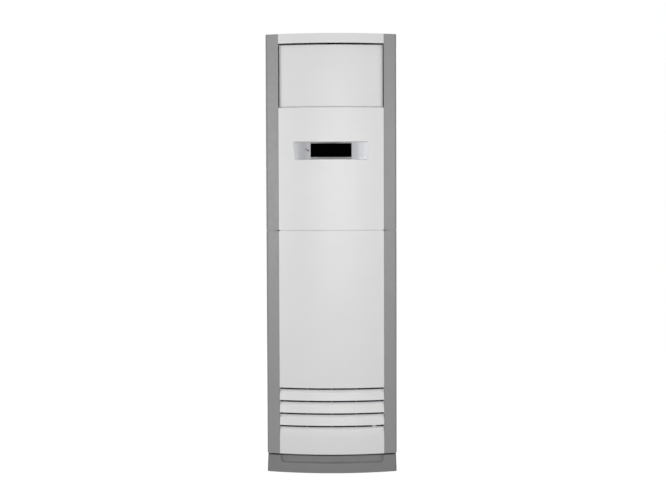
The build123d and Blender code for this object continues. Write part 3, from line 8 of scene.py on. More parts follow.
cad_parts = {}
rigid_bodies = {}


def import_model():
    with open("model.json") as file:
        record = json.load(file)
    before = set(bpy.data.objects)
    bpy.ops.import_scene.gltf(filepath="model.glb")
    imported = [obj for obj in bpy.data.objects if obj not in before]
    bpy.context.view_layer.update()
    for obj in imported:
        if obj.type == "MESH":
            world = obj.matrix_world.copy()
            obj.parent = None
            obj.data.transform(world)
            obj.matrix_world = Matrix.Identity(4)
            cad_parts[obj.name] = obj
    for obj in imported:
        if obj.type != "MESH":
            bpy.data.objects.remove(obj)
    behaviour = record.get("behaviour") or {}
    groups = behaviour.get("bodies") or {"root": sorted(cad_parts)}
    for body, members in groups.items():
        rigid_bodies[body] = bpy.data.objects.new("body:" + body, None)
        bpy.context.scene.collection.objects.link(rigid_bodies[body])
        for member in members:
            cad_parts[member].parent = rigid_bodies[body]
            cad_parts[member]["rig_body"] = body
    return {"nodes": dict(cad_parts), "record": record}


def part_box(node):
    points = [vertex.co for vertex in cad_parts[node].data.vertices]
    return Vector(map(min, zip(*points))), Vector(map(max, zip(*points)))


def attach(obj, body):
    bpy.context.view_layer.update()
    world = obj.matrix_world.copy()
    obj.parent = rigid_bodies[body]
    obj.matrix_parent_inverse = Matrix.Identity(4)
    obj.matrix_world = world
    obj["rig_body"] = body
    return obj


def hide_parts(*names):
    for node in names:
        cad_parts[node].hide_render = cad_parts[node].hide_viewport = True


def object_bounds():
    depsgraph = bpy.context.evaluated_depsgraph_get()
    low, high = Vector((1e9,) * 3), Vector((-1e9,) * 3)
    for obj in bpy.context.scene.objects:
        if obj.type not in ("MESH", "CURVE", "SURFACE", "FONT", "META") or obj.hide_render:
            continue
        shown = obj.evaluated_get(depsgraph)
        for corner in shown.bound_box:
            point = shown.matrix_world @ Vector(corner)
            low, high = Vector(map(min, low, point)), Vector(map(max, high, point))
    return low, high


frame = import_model()
cadLow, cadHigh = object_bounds()
nodes = frame["nodes"]

# Everything is in metres, the front faces -Y.
# The whole front lies on one upright arc. A depth is measured from it, straight back.
front = {
    "bow": 0.042,
    "wall": 0.0025,
    "stepX": 0.0085,  # about how wide the strips are that follow the arc
}
halfWidth = cadHigh.x
frontRadius = (halfWidth**2 + front["bow"] ** 2) / (2 * front["bow"])
frontCentre = frontRadius + cadLow.y


def bowY(x, depth=0.0):
    return frontCentre - math.sqrt((frontRadius - depth) ** 2 - x * x)


# camera, light and floor
view = {
    "place": (0.0618, -4.9, 1.0434),
    "down": 2.114,  # degrees
    "left": 0.670,
    "roll": -0.184,
    "focalPixels": 1231.9,
    "imageWidth": 666,
    "sensor": 36.0,  # millimetres
}


def makeCamera():
    data = bpy.data.cameras.new("photoCamera")
    data.sensor_width = view["sensor"]
    data.lens = view["focalPixels"] * data.sensor_width / view["imageWidth"]
    camera = bpy.data.objects.new("photoCamera", data)
    bpy.context.scene.collection.objects.link(camera)
    camera.location = view["place"]
    turn = Matrix.Rotation(math.radians(view["left"]), 4, "Z")
    tilt = Matrix.Rotation(math.radians(90 - view["down"]), 4, "X")
    roll = Matrix.Rotation(math.radians(view["roll"]), 4, "Z")
    camera.rotation_euler = (turn @ tilt @ roll).to_euler()
    bpy.context.scene.camera = camera


def toLinear(hexColour):
    # by the sRGB curve
    parts = [int(hexColour[k : k + 2], 16) / 255 for k in (1, 3, 5)]
    linear = [p / 12.92 if p <= 0.04045 else ((p + 0.055) / 1.055) ** 2.4 for p in parts]
    return (*linear, 1.0)


def addNode(tree, kind, props=None, values=None, links=None):
    node = tree.nodes.new(kind)
    for name, value in (props or {}).items():
        setattr(node, name, value)
    for name, value in (values or {}).items():
        node.inputs[name].default_value = value
    for name, source in (links or {}).items():
        tree.links.new(source, node.inputs[name])
    return node


lighting = {
    "worldLight": 0.38,  # what the pale room gives the object
    "front": {"place": (0.3, -3.8, 1.2), "aim": (0.0, 0.0, 0.9), "size": (1.9, 0.9), "watts": 39.0},
    "left": {"place": (-2.6, -3.0, 1.3), "aim": (0.0, 0.0, 0.7), "size": (1.6, 1.6), "watts": 37.0},
    "right": {"place": (2.7, -3.0, 1.3), "aim": (0.0, 0.0, 0.7), "size": (1.6, 1.6), "watts": 27.0},
    "back": {"place": (0.9, 3.2, 2.4), "aim": (0.0, 0.0, 1.0), "size": (2.4, 1.6), "watts": 62.0},
    "floorTones": ("#8C8C8C", "#919191"),
    "floorPatches": 3.0,  # patches of tone across it
    "floorHalf": 14.0,
    "floorLift": 0.90,  # added where the camera sees the floor, so that it reads as white paper
}


def seenDirectly(tree):
    # 1 where the camera, a reflection or a clear piece shows this surface
    path = addNode(tree, "ShaderNodeLightPath")
    rays = {0: path.outputs["Is Camera Ray"], 1: path.outputs["Is Glossy Ray"]}
    either = addNode(tree, "ShaderNodeMath", {"operation": "MAXIMUM"}, links=rays)
    rays = {0: either.outputs[0], 1: path.outputs["Is Transmission Ray"]}
    return addNode(tree, "ShaderNodeMath", {"operation": "MAXIMUM"}, links=rays)


def makeWorld():
    world = bpy.data.worlds.new("paleRoom")
    world.use_nodes = True
    bpy.context.scene.world = world
    tree = world.node_tree
    tree.nodes.clear()
    seen = seenDirectly(tree)
    ends = {"To Min": lighting["worldLight"], "To Max": 1.0}
    level = addNode(tree, "ShaderNodeMapRange", values=ends, links={"Value": seen.outputs[0]})
    white, strength = {"Color": (1, 1, 1, 1)}, {"Strength": level.outputs[0]}
    background = addNode(tree, "ShaderNodeBackground", values=white, links=strength)
    addNode(tree, "ShaderNodeOutputWorld", links={"Surface": background.outputs[0]})


def makeLamp(name, lamp):
    data = bpy.data.lights.new(name, "AREA")
    data.shape = "RECTANGLE"
    data.size, data.size_y = lamp["size"]
    data.energy = lamp["watts"]
    lampObject = bpy.data.objects.new(name, data)
    bpy.context.scene.collection.objects.link(lampObject)
    lampObject.location = lamp["place"]
    aim = Vector(lamp["aim"]) - Vector(lamp["place"])
    lampObject.rotation_euler = aim.to_track_quat("-Z", "Y").to_euler()


def makeFloor():
    material = bpy.data.materials.new("paleFloor")
    material.use_nodes = True
    tree = material.node_tree
    tree.nodes.clear()
    patches = {"Scale": lighting["floorPatches"], "Detail": 2.0}
    grain = addNode(tree, "ShaderNodeTexNoise", values=patches)
    dark, light = lighting["floorTones"]
    tones = {6: toLinear(dark), 7: toLinear(light)}
    tone = addNode(tree, "ShaderNodeMix", {"data_type": "RGBA"}, tones, {0: grain.outputs["Fac"]})
    paper = addNode(tree, "ShaderNodeBsdfDiffuse", links={"Color": tone.outputs[2]})
    seen = {0: seenDirectly(tree).outputs[0]}
    lift = addNode(tree, "ShaderNodeMath", {"operation": "MULTIPLY"}, {1: lighting["floorLift"]}, seen)
    glow = addNode(tree, "ShaderNodeEmission", links={"Strength": lift.outputs[0]})
    both = addNode(tree, "ShaderNodeAddShader", links={0: paper.outputs[0], 1: glow.outputs[0]})
    addNode(tree, "ShaderNodeOutputMaterial", links={"Surface": both.outputs[0]})
    mesh = bpy.data.meshes.new("floor")
    half = lighting["floorHalf"]
    corners = [(-half, -half, 0), (half, -half, 0), (half, half, 0), (-half, half, 0)]
    mesh.from_pydata(corners, [], [(0, 1, 2, 3)])
    mesh.materials.append(material)
    floor = bpy.data.objects.new("floor", mesh)
    bpy.context.scene.collection.objects.link(floor)


makeCamera()
makeWorld()
for side in ("front", "left", "right", "back"):
    makeLamp(side + "Lamp", lighting[side])
makeFloor()
bpy.context.scene.view_settings.view_transform = "Standard"
print("camera, light and floor done")


# materials
def startMaterial(name, colour, roughness, metallic=0.0, specular=0.5):
    material = bpy.data.materials.new(name)
    material.use_nodes = True
    tree = material.node_tree
    tree.nodes.clear()
    values = {
        "Base Color": toLinear(colour),
        "Roughness": roughness,
        "Metallic": metallic,
        "Specular IOR Level": specular,
    }
    shader = addNode(tree, "ShaderNodeBsdfPrincipled", values=values)
    addNode(tree, "ShaderNodeOutputMaterial", links={"Surface": shader.outputs[0]})
    place = addNode(tree, "ShaderNodeTexCoord")
    return material, tree, shader, place.outputs["Object"]


# how much smoother and rougher than its mean a surface is in places
roughnessSpread = {"moulded": (0.04, 0.05), "metal": (0.06, 0.08)}


def patternScale(millimetres):
    return 1000.0 / millimetres


def varyColour(tree, shader, place, light, dark, patchMm, cells=False):
    # patches that run into each other, or cells with one tone each
    where, values = {"Vector": place}, {"Scale": patternScale(patchMm)}
    if cells:
        share = addNode(tree, "ShaderNodeTexVoronoi", values=values, links=where).outputs["Color"]
    else:
        values.update({"Detail": 3.0, "Roughness": 0.6})
        share = addNode(tree, "ShaderNodeTexNoise", values=values, links=where).outputs["Fac"]
    tones = {6: toLinear(light), 7: toLinear(dark)}
    tone = addNode(tree, "ShaderNodeMix", {"data_type": "RGBA"}, tones, {0: share})
    tree.links.new(tone.outputs[2], shader.inputs["Base Color"])


def varyRoughness(tree, shader, place, low, high, patchMm):
    values = {"Scale": patternScale(patchMm), "Detail": 4.0}
    patch = addNode(tree, "ShaderNodeTexNoise", values=values, links={"Vector": place})
    ends = {"From Min": 0.3, "From Max": 0.7, "To Min": low, "To Max": high}
    spread = addNode(tree, "ShaderNodeMapRange", values=ends, links={"Value": patch.outputs["Fac"]})
    tree.links.new(spread.outputs[0], shader.inputs["Roughness"])


def addGrain(tree, shader, place, grainMm, depthMm):
    values = {"Scale": patternScale(grainMm)}
    grain = addNode(tree, "ShaderNodeTexNoise", values=values, links={"Vector": place})
    values = {"Strength": 1.0, "Distance": depthMm / 1000}
    bump = addNode(tree, "ShaderNodeBump", values=values, links={"Height": grain.outputs[0]})
    tree.links.new(bump.outputs[0], shader.inputs["Normal"])


def moulded(name, light, dark, roughness, grainMm, depthMm, patchMm, specular=0.5):
    material, tree, shader, place = startMaterial(name, light, roughness, specular=specular)
    varyColour(tree, shader, place, light, dark, patchMm)
    less, more = roughnessSpread["moulded"]
    varyRoughness(tree, shader, place, roughness - less, roughness + more, patchMm / 4)
    addGrain(tree, shader, place, grainMm, depthMm)
    return material


def metalSheet(name, light, dark, roughness, metallic, patchMm, grainMm, depthMm, cells=False):
    material, tree, shader, place = startMaterial(name, light, roughness, metallic)
    varyColour(tree, shader, place, light, dark, patchMm, cells)
    less, more = roughnessSpread["metal"]
    varyRoughness(tree, shader, place, roughness - less, roughness + more, patchMm / 2)
    addGrain(tree, shader, place, grainMm, depthMm)
    return material


# A moulded finish has two tones, a roughness, the size and depth of its grain, the size of its patches of
# tone, and its specular level. A metal sheet has two tones, a roughness, a metallic level, the size of its
# patches, and the size and depth of its grain. Sizes are in millimetres.
finishes = {
    # satin injection-moulded ABS: soft broad highlights and a very fine grain
    "panel_white": moulded("satinWhiteAbs", "#E3E3E3", "#DFDFDF", 0.36, 0.7, 0.006, 90.0),
    "column_grey": moulded("satinGreyAbs", "#929292", "#8C8C8C", 0.38, 0.6, 0.006, 80.0),
    # spark-eroded mould texture: coarser grain, no clear highlight
    "plinth_grey": moulded("texturedGreyAbs", "#8E8E8E", "#878787", 0.58, 1.1, 0.05, 50.0, 0.02),
    # unpainted ABS: a little warmer and duller than the panels
    "inner_white": moulded("plainWhiteAbs", "#DADAD8", "#D2D2CF", 0.42, 0.9, 0.012, 60.0),
    # beads pressed together in steam: a soft pebbled skin
    "pan_grey": moulded("foamedPolystyrene", "#C9C9C5", "#BFBFBA", 0.6, 2.5, 0.12, 30.0),
    # undyed acetal: waxy cream with a slight shine
    "gear_plastic": moulded("naturalAcetal", "#E8E6DC", "#E0DDD0", 0.3, 1.0, 0.01, 30.0),
    # polypropylene from a sanded mould: dull charcoal
    "scroll_plastic": moulded("blackPolypropylene", "#4C4F52", "#44474A", 0.45, 1.2, 0.03, 60.0),
    # glass-filled nylon: near black and dry
    "terminal_plastic": moulded("mouldedNylon", "#2C2C2C", "#353535", 0.5, 0.8, 0.02, 20.0),
    # dyed polypropylene: dusty blue with a greasy sheen
    "filter_plastic": moulded("bluePolypropylene", "#3E5570", "#374C66", 0.4, 0.9, 0.015, 40.0),
    # plain weave of the same: darker, with no highlight
    "filter_net": moulded("wovenNet", "#2B343D", "#323D47", 0.6, 0.5, 0.02, 15.0),
    # soft PVC: pale, with a faintly uneven skin
    "hose_plastic": moulded("softPvc", "#C6C6C1", "#BDBDB7", 0.45, 1.5, 0.03, 40.0),
    # ABS from a polished mould: dark, with a small clear highlight
    "button_grey": moulded("polishedAbs", "#3A3A3C", "#343436", 0.3, 0.5, 0.004, 8.0, 0.2),
    # pressed rubber: almost black, no highlight
    "rubber": moulded("mattRubber", "#1E1E1E", "#262626", 0.75, 0.9, 0.04, 25.0),
    # solder mask on glass fibre: lacquered green over a faint grain
    "board_green": moulded("solderMask", "#1C5A34", "#174C2C", 0.35, 1.6, 0.05, 12.0),
    # silver paint on ABS: cool grey that brightens towards the light
    "bezel_silver": metalSheet("silverPaint", "#8B8C8E", "#818284", 0.34, 0.7, 6.0, 0.4, 0.004),
    # baked powder: pale, with a faint orange peel
    "cabinet_steel": metalSheet("powderCoat", "#D6D6D4", "#D0D0CE", 0.46, 0.0, 120.0, 1.6, 0.03),
    # hot-dipped zinc: spangles in several greys
    "galvanised": metalSheet("galvanisedSteel", "#B4B8BA", "#8E9396", 0.38, 0.85, 9.0, 1.4, 0.01, True),
    # bright zinc plate: cool and clear
    "screw_steel": metalSheet("zincPlate", "#A9ABAC", "#97999B", 0.32, 0.9, 3.0, 0.5, 0.006),
    # ground steel: a tight bright streak of light
    "shaft_steel": metalSheet("groundSteel", "#A3A5A8", "#94979A", 0.22, 1.0, 4.0, 0.4, 0.004),
    # drawn tube: warm, with darker tarnished stretches
    "copper": metalSheet("drawnCopper", "#C07A52", "#A9623F", 0.28, 1.0, 18.0, 0.9, 0.01),
    # turned brass: yellow and bright
    "brass": metalSheet("turnedBrass", "#C7A455", "#B59146", 0.26, 1.0, 8.0, 0.6, 0.006),
    # rolled foil: pale and bluish
    "fin_aluminium": metalSheet("rolledFoil", "#C4CBD0", "#B2BAC0", 0.34, 0.95, 10.0, 0.9, 0.01),
    # sprayed enamel: black, with a soft uneven shine
    "motor_black": metalSheet("blackEnamel", "#232426", "#2C2D30", 0.4, 0.1, 40.0, 1.8, 0.03),
    # dark acrylic over a black mask: one deep black
    "window_black": moulded("darkAcrylic", "#030304", "#020203", 0.10, 2.0, 0.0005, 40.0, 0.0),
    # acrylic that passes infrared only: black cherry
    "lens_dark": moulded("smokedAcrylic", "#1C0E12", "#170B0E", 0.12, 2.0, 0.0005, 5.0, 0.1),
}
slotOf = {row["node"]: row["material_slot"] for row in frame["record"]["subparts"]}
for nodeName, cadObject in nodes.items():
    cadObject.data.materials.clear()
    cadObject.data.materials.append(finishes[slotOf[nodeName]])
print("materials:", len(finishes))

# mesh helpers
weld = {
    "cut": 1e-6,  # points closer than this are one
    "turned": 1e-7,
    "solid": 2e-6,
    "flat": 0.4,  # degrees between faces that count as one
}


def bodyOf(nodeName):
    return nodes[nodeName]["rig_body"]


def newMesh(name, bm):
    mesh = bpy.data.meshes.new(name)
    bm.normal_update()
    bm.to_mesh(mesh)
    bm.free()
    return mesh


def temporary(name, bm):
    thing = bpy.data.objects.new(name, newMesh(name, bm))
    bpy.context.scene.collection.objects.link(thing)
    return thing


def worked(thing, *helpers):
    # the object's mesh with its modifiers worked in; the objects are removed
    graph = bpy.context.evaluated_depsgraph_get()
    graph.update()
    mesh = bpy.data.meshes.new_from_object(thing.evaluated_get(graph))
    for helper in (thing, *helpers):
        bpy.data.objects.remove(helper)
    made = bmesh.new()
    made.from_mesh(mesh)
    bpy.data.meshes.remove(mesh)
    return made


def roundEdges(bm, width, segments=3, angle=32.0):
    # bevels every edge that is sharper than the angle
    thing = temporary("roundEdges", bm)
    bevel = thing.modifiers.new("edges", "BEVEL")
    bevel.width = width
    bevel.segments = segments
    bevel.limit_method = "ANGLE"
    bevel.angle_limit = math.radians(angle)
    return worked(thing)


def combine(bm, cutters, operation="DIFFERENCE"):
    thing = temporary("combine", bm)
    helpers = [temporary("cutter", cutter) for cutter in cutters]
    for helper in helpers:
        step = thing.modifiers.new("cut", "BOOLEAN")
        step.operation = operation
        step.solver = "EXACT"
        step.object = helper
    made = worked(thing, *helpers)
    bmesh.ops.remove_doubles(made, verts=made.verts, dist=weld["cut"])
    return made


def prism(outline, low, high, axis="Z"):
    # a closed block: the outline in the plane across the axis, from low to high along it
    spots = {
        "Z": lambda a, b, c: (a, b, c),
        "Y": lambda a, b, c: (a, c, b),
        "X": lambda a, b, c: (c, a, b),
    }[axis]
    bm = bmesh.new()
    lower = [bm.verts.new(spots(a, b, low)) for a, b in outline]
    upper = [bm.verts.new(spots(a, b, high)) for a, b in outline]
    bm.faces.new(lower)
    bm.faces.new(upper)
    for k in range(len(outline)):
        bm.faces.new((lower[k - 1], lower[k], upper[k], upper[k - 1]))
    bmesh.ops.recalc_face_normals(bm, faces=bm.faces)
    return bm


def rectangle(left, right, near, far):
    return [(left, near), (right, near), (right, far), (left, far)]


def boxBlock(left, right, near, far, low, high):
    return prism(rectangle(left, right, near, far), low, high)


def turned(profile, steps, axis="Y"):
    # a turned shape from (radius, along) pairs; it closes on the axis or on itself
    bm = bmesh.new()
    rings = []
    for radius, along in profile:
        ring = []
        for k in range(steps):
            turn = 2 * math.pi * k / steps
            x, up = radius * math.cos(turn), radius * math.sin(turn)
            ring.append(bm.verts.new((x, along, up) if axis == "Y" else (x, up, along)))
        rings.append(ring)
    for one, two in zip(rings, rings[1:] + rings[:1]):
        for k in range(steps):
            bm.faces.new((one[k - 1], one[k], two[k], two[k - 1]))
    bmesh.ops.remove_doubles(bm, verts=bm.verts, dist=weld["turned"])
    bmesh.ops.dissolve_degenerate(bm, dist=weld["turned"], edges=bm.edges)
    bmesh.ops.recalc_face_normals(bm, faces=bm.faces)
    return bm


def frontMiddle(low, high):
    # where a turned piece that faces the front has its axis
    return ((low.x + high.x) / 2, 0, (low.z + high.z) / 2)


def moved(bm, place, turn=None):
    if turn:
        bmesh.ops.transform(bm, matrix=turn, verts=bm.verts)
    bmesh.ops.translate(bm, vec=Vector(place), verts=bm.verts)
    return bm


def joined(*parts):
    mesh = bpy.data.meshes.new("joined")
    whole = bmesh.new()
    for part in parts:
        part.to_mesh(mesh)
        part.free()
        whole.from_mesh(mesh)
    bpy.data.meshes.remove(mesh)
    return whole


def roundedQuad(corners, radius, steps):
    # a flat outline with its corners rounded to the radius
    outline = []
    for k, corner in enumerate(corners):
        corner = Vector(corner)
        before = (Vector(corners[k - 1]) - corner).normalized()
        after = (Vector(corners[(k + 1) % len(corners)]) - corner).normalized()
        half = before.angle(after) / 2
        middle = corner + (before + after).normalized() * radius / math.sin(half)
        start = corner + before * radius / math.tan(half) - middle
        end = corner + after * radius / math.tan(half) - middle
        for step in range(steps + 1):
            spoke = start.lerp(end, step / steps).normalized() * radius
            outline.append(tuple(middle + spoke))
    return outline


def roundOutline(radius, sides):
    turns = [2 * math.pi * (k + 0.5) / sides for k in range(sides)]
    return [(radius * math.cos(t), radius * math.sin(t)) for t in turns]


def solidCopy(nodeName):
    # a merged copy of a node's solid, with its flat faces whole again
    bm = bmesh.new()
    bm.from_mesh(nodes[nodeName].data)
    bmesh.ops.remove_doubles(bm, verts=bm.verts, dist=weld["solid"])
    flat = math.radians(weld["flat"])
    bmesh.ops.dissolve_limit(bm, angle_limit=flat, verts=bm.verts, edges=bm.edges)
    return bm


def addPiece(name, bm, slotName, body, replaced=(), smoothAngle=40.0):
    for face in bm.faces:
        face.smooth = True
        face.material_index = 0
    limit = math.radians(smoothAngle)
    for edge in bm.edges:
        edge.smooth = len(edge.link_faces) == 2 and edge.calc_face_angle(math.pi) < limit
    mesh = newMesh(name, bm)
    mesh.materials.append(finishes[slotName])
    piece = bpy.data.objects.new(name, mesh)
    bpy.context.scene.collection.objects.link(piece)
    weighted = piece.modifiers.new("normals", "WEIGHTED_NORMAL")
    weighted.keep_sharp = True
    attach(piece, body)
    if replaced:
        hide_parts(*replaced)


def camel(nodeName):
    first, *others = nodeName.split("_")
    return first + "".join(word.capitalize() for word in others)


def replaceNode(nodeName, bm, name=None, **smoothing):
    # a piece for a node's solid, with its look and body, and with its name unless another is given
    addPiece(name or camel(nodeName), bm, slotOf[nodeName], bodyOf(nodeName), [nodeName], **smoothing)


# rules: geometry node trees for what repeats and for the bow of the front
def startRule(name, inputs):
    rule = bpy.data.node_groups.new(name, "GeometryNodeTree")
    rule.interface.new_socket("Shape", in_out="INPUT", socket_type="NodeSocketGeometry")
    for label, kind in inputs.items():
        rule.interface.new_socket(label, in_out="INPUT", socket_type="NodeSocket" + kind)
    rule.interface.new_socket("Shape", in_out="OUTPUT", socket_type="NodeSocketGeometry")
    return rule, addNode(rule, "NodeGroupInput").outputs


def closeRule(rule, shape, slotName):
    real = addNode(rule, "GeometryNodeRealizeInstances", links={"Geometry": shape})
    paint = addNode(rule, "GeometryNodeSetMaterial", links={"Geometry": real.outputs[0]})
    paint.inputs["Material"].default_value = finishes[slotName]
    addNode(rule, "NodeGroupOutput", links={"Shape": paint.outputs[0]})
    return rule


def grow(rule, bm, values):
    # works the rule on a shape and gives the plain mesh
    thing = temporary(rule.name, bm)
    step = thing.modifiers.new(rule.name, "NODES")
    step.node_group = rule
    for item in rule.interface.items_tree:
        if item.item_type == "SOCKET" and item.in_out == "INPUT" and item.name in values:
            step[item.identifier] = values[item.name]
    return worked(thing)


def bowNodes(rule, shape, radius, centre):
    # y, until here a depth, is laid that far behind the front's arc
    place = addNode(rule, "GeometryNodeInputPosition")
    axes = addNode(rule, "ShaderNodeSeparateXYZ", links={0: place.outputs[0]})
    values = {"radius": radius, "centre": centre, "x": axes.outputs["X"], "depth": axes.outputs["Y"]}
    # y = centre - sqrt((radius - depth)^2 - x^2)
    sums = (
        ("spoke", "SUBTRACT", "radius", "depth"),
        ("spokeSquare", "MULTIPLY", "spoke", "spoke"),
        ("xSquare", "MULTIPLY", "x", "x"),
        ("reachSquare", "SUBTRACT", "spokeSquare", "xSquare"),
        ("reach", "SQRT", "reachSquare"),
        ("y", "SUBTRACT", "centre", "reach"),
    )
    for result, operation, *given in sums:
        links = {k: values[name] for k, name in enumerate(given)}
        values[result] = addNode(rule, "ShaderNodeMath", {"operation": operation}, links=links).outputs[0]
    links = {"X": values["x"], "Y": values["y"], "Z": axes.outputs["Z"]}
    spot = addNode(rule, "ShaderNodeCombineXYZ", links=links)
    links = {"Geometry": shape, "Position": spot.outputs[0]}
    return addNode(rule, "GeometryNodeSetPosition", links=links).outputs[0]


def makeBowRule():
    rule, given = startRule("bow", {"Radius": "Float", "Centre": "Float"})
    bent = bowNodes(rule, given["Shape"], given["Radius"], given["Centre"])
    return closeRule(rule, bent, "panel_white")


def makeRowRule(name, slotName, bow=False):
    # a row of shapes that lie a step apart, laid on the front's arc where asked
    inputs = {"Count": "Int", "First": "Vector", "Step": "Vector", "Radius": "Float", "Centre": "Float"}
    rule, given = startRule(name, inputs)
    links = {"Count": given["Count"], "Start Location": given["First"], "Offset": given["Step"]}
    line = addNode(rule, "GeometryNodeMeshLine", links=links)
    links = {"Points": line.outputs[0], "Instance": given["Shape"]}
    shape = addNode(rule, "GeometryNodeInstanceOnPoints", links=links).outputs[0]
    if bow:
        real = addNode(rule, "GeometryNodeRealizeInstances", links={"Geometry": shape})
        shape = bowNodes(rule, real.outputs[0], given["Radius"], given["Centre"])
    return closeRule(rule, shape, slotName)


def makeWheelRule(name, slotName):
    # shapes set round a level axis that points at the front
    rule, given = startRule(name, {"Count": "Int", "Turn": "Float", "Middle": "Vector"})
    count, noStep = {"Count": given["Count"]}, {"Offset": (0, 0, 0)}
    spots = addNode(rule, "GeometryNodeMeshLine", values=noStep, links=count)
    links = {0: addNode(rule, "GeometryNodeInputIndex").outputs[0], 1: given["Turn"]}
    turn = addNode(rule, "ShaderNodeMath", {"operation": "MULTIPLY"}, links=links)
    about = addNode(rule, "ShaderNodeCombineXYZ", links={"Y": turn.outputs[0]})
    links = {"Points": spots.outputs[0], "Instance": given["Shape"], "Rotation": about.outputs[0]}
    ring = addNode(rule, "GeometryNodeInstanceOnPoints", links=links)
    real = addNode(rule, "GeometryNodeRealizeInstances", links={"Geometry": ring.outputs[0]})
    links = {"Geometry": real.outputs[0], "Translation": given["Middle"]}
    placed = addNode(rule, "GeometryNodeTransform", links=links)
    return closeRule(rule, placed.outputs[0], slotName)


bowRule = makeBowRule()
arc = {"Radius": frontRadius, "Centre": frontCentre}


def cutStrips(bm):
    left = min(v.co.x for v in bm.verts)
    right = max(v.co.x for v in bm.verts)
    count = max(2, round((right - left) / front["stepX"]))
    for k in range(1, count):
        x = left + (right - left) * k / count
        everything = [*bm.verts, *bm.edges, *bm.faces]
        bmesh.ops.bisect_plane(
            bm, geom=everything, plane_co=(x, 0, 0), plane_no=(1, 0, 0), dist=weld["cut"]
        )
    return bm


def bowed(bm):
    return grow(bowRule, cutStrips(bm), arc)


# upper front panel, with its opening for the display bezel
band = {
    "bottom": 1.216,
    "top": 1.2853,
    "halfBottom": 0.139,
    "halfTop": 0.146,
    "corner": (0.003, 5),  # radius and steps
}
upperPanel = {
    "rim": 0.012,
    "edge": 0.0011,
    "ribLevels": (1.0, 1.1, 1.185),
    "ribDepth": 0.0095,
    "lip": (0.0042, 0.0057, 0.9405, 0.9485),  # near, far, low, high: what shows in the seam below
    "lipHalf": 0.200,
    "cutPast": 0.01,  # how far the opening's cutter stands out at both faces
}


def bandOutline():
    return roundedQuad(
        [
            (-band["halfBottom"], band["bottom"]),
            (band["halfBottom"], band["bottom"]),
            (band["halfTop"], band["top"]),
            (-band["halfTop"], band["top"]),
        ],
        *band["corner"],
    )


def channelOutline(half, depth, wall):
    # a skin with a rim turned back at both sides
    return [
        (-half, 0),
        (half, 0),
        (half, depth),
        (half - wall, depth),
        (half - wall, wall),
        (-half + wall, wall),
        (-half + wall, depth),
        (-half, depth),
    ]


def makeUpperPanel():
    low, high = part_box("upper_front_panel")
    half, wall = high.x, front["wall"]
    skin = prism(channelOutline(half, upperPanel["rim"], wall), low.z, high.z)
    past = upperPanel["cutPast"]
    opening = prism(bandOutline(), -past, upperPanel["rim"] + past, "Y")
    skin = roundEdges(combine(skin, [opening]), upperPanel["edge"])
    ribs = [
        boxBlock(wall - half, half - wall, wall / 2, upperPanel["ribDepth"], level, level + wall)
        for level in upperPanel["ribLevels"]
    ]
    near, far, lipLow, lipHigh = upperPanel["lip"]
    lip = boxBlock(-upperPanel["lipHalf"], upperPanel["lipHalf"], near, far, lipLow, lipHigh)
    panel = bowed(joined(skin, lip, *ribs))
    replaceNode("upper_front_panel", panel, "upperPanel")


makeUpperPanel()

# outlet door
outletDoor = {
    "inset": 0.016,
    "rim": 0.008,
    "edge": (0.0019, 4),  # width and segments
    "lipEdge": (0.0019 / 3, 2),
    "half": 0.2005,
    "faceLow": 1.4212,  # the raised face ends here, above a lip that is set back
    "lipInset": 0.0212,
    "tongue": (0.02, 0.022),  # near and far
    "seal": 0.0005,  # a dark rubber strip along each tongue, put in the gap beside the door as painted shade: it stands in for the shadow in that gap
    "sealEdge": 0.2036,
    "sealGap": 0.00025,
}


def makeOutletDoor():
    low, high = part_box("outlet_door")
    half, wall = outletDoor["half"], front["wall"]
    inset, lipInset = outletDoor["inset"], outletDoor["lipInset"]
    back = inset + outletDoor["rim"]
    face = boxBlock(-half, half, inset, back, outletDoor["faceLow"], high.z)
    hollow = boxBlock(wall - half, half - wall, inset + wall, back + wall, low.z - wall, high.z - wall)
    face = roundEdges(combine(face, [hollow]), *outletDoor["edge"])
    lip = boxBlock(-half, half, lipInset, back, low.z, outletDoor["faceLow"] + wall)
    hollow = boxBlock(
        wall - half, half - wall, lipInset + wall, back + wall, low.z + wall, outletDoor["faceLow"] + 2 * wall
    )
    lip = roundEdges(combine(lip, [hollow]), *outletDoor["lipEdge"])
    near, far = outletDoor["tongue"]
    tongues, gapShadeStrips = [], []
    for side in (-1, 1):
        left, right = sorted((side * (half - wall / 2), side * high.x))
        tongues.append(boxBlock(left, right, near, far, low.z + wall, high.z - wall))
        left, right = sorted((side * (half + outletDoor["sealGap"]), side * outletDoor["sealEdge"]))
        gapShadeStrips.append(boxBlock(left, right, near - outletDoor["seal"], near, low.z + wall, high.z - wall))
    replaceNode("outlet_door", bowed(joined(face, lip, *tongues)))
    # dark rubber strips in the gaps beside the door: painted shade for those gaps
    addPiece("doorSeals", bowed(joined(*gapShadeStrips)), "rubber", "door")


makeOutletDoor()

# columns
column = {
    "width": 0.0492,
    "back": -0.075,
    "corner": 0.012,
    "returnDepth": 0.012,
    "edge": (0.0012, 3, 40.0),  # width, segments and angle
    "lip": (0.0029, 0.0044, 0.9405, 0.9485),  # near, far, low, high
    "lipInset": 0.0117,  # keeps the lip clear of the hinge arms
    "frontSteps": 8,
    "cornerSteps": 7,
}


def columnFront(edgeX, sideX, depth, corner):
    # from the inner edge along the arc, round the corner and onto the side
    radius = frontRadius - depth
    reach = math.sqrt((radius - corner) ** 2 - (sideX - corner) ** 2)
    middle = Vector((sideX - corner, frontCentre - reach))
    centre = Vector((0, frontCentre))
    touch = centre + (middle - centre).normalized() * radius
    points = []
    for k in range(column["frontSteps"]):
        x = edgeX + (touch.x - edgeX) * k / column["frontSteps"]
        points.append((x, bowY(x, depth)))
    start, end = (touch - middle), Vector((corner, 0))
    sweep, steps = start.angle(end), column["cornerSteps"]
    for k in range(steps + 1):
        turn = Matrix.Rotation(sweep * k / steps, 2)
        points.append(tuple(middle + turn @ start))
    return points


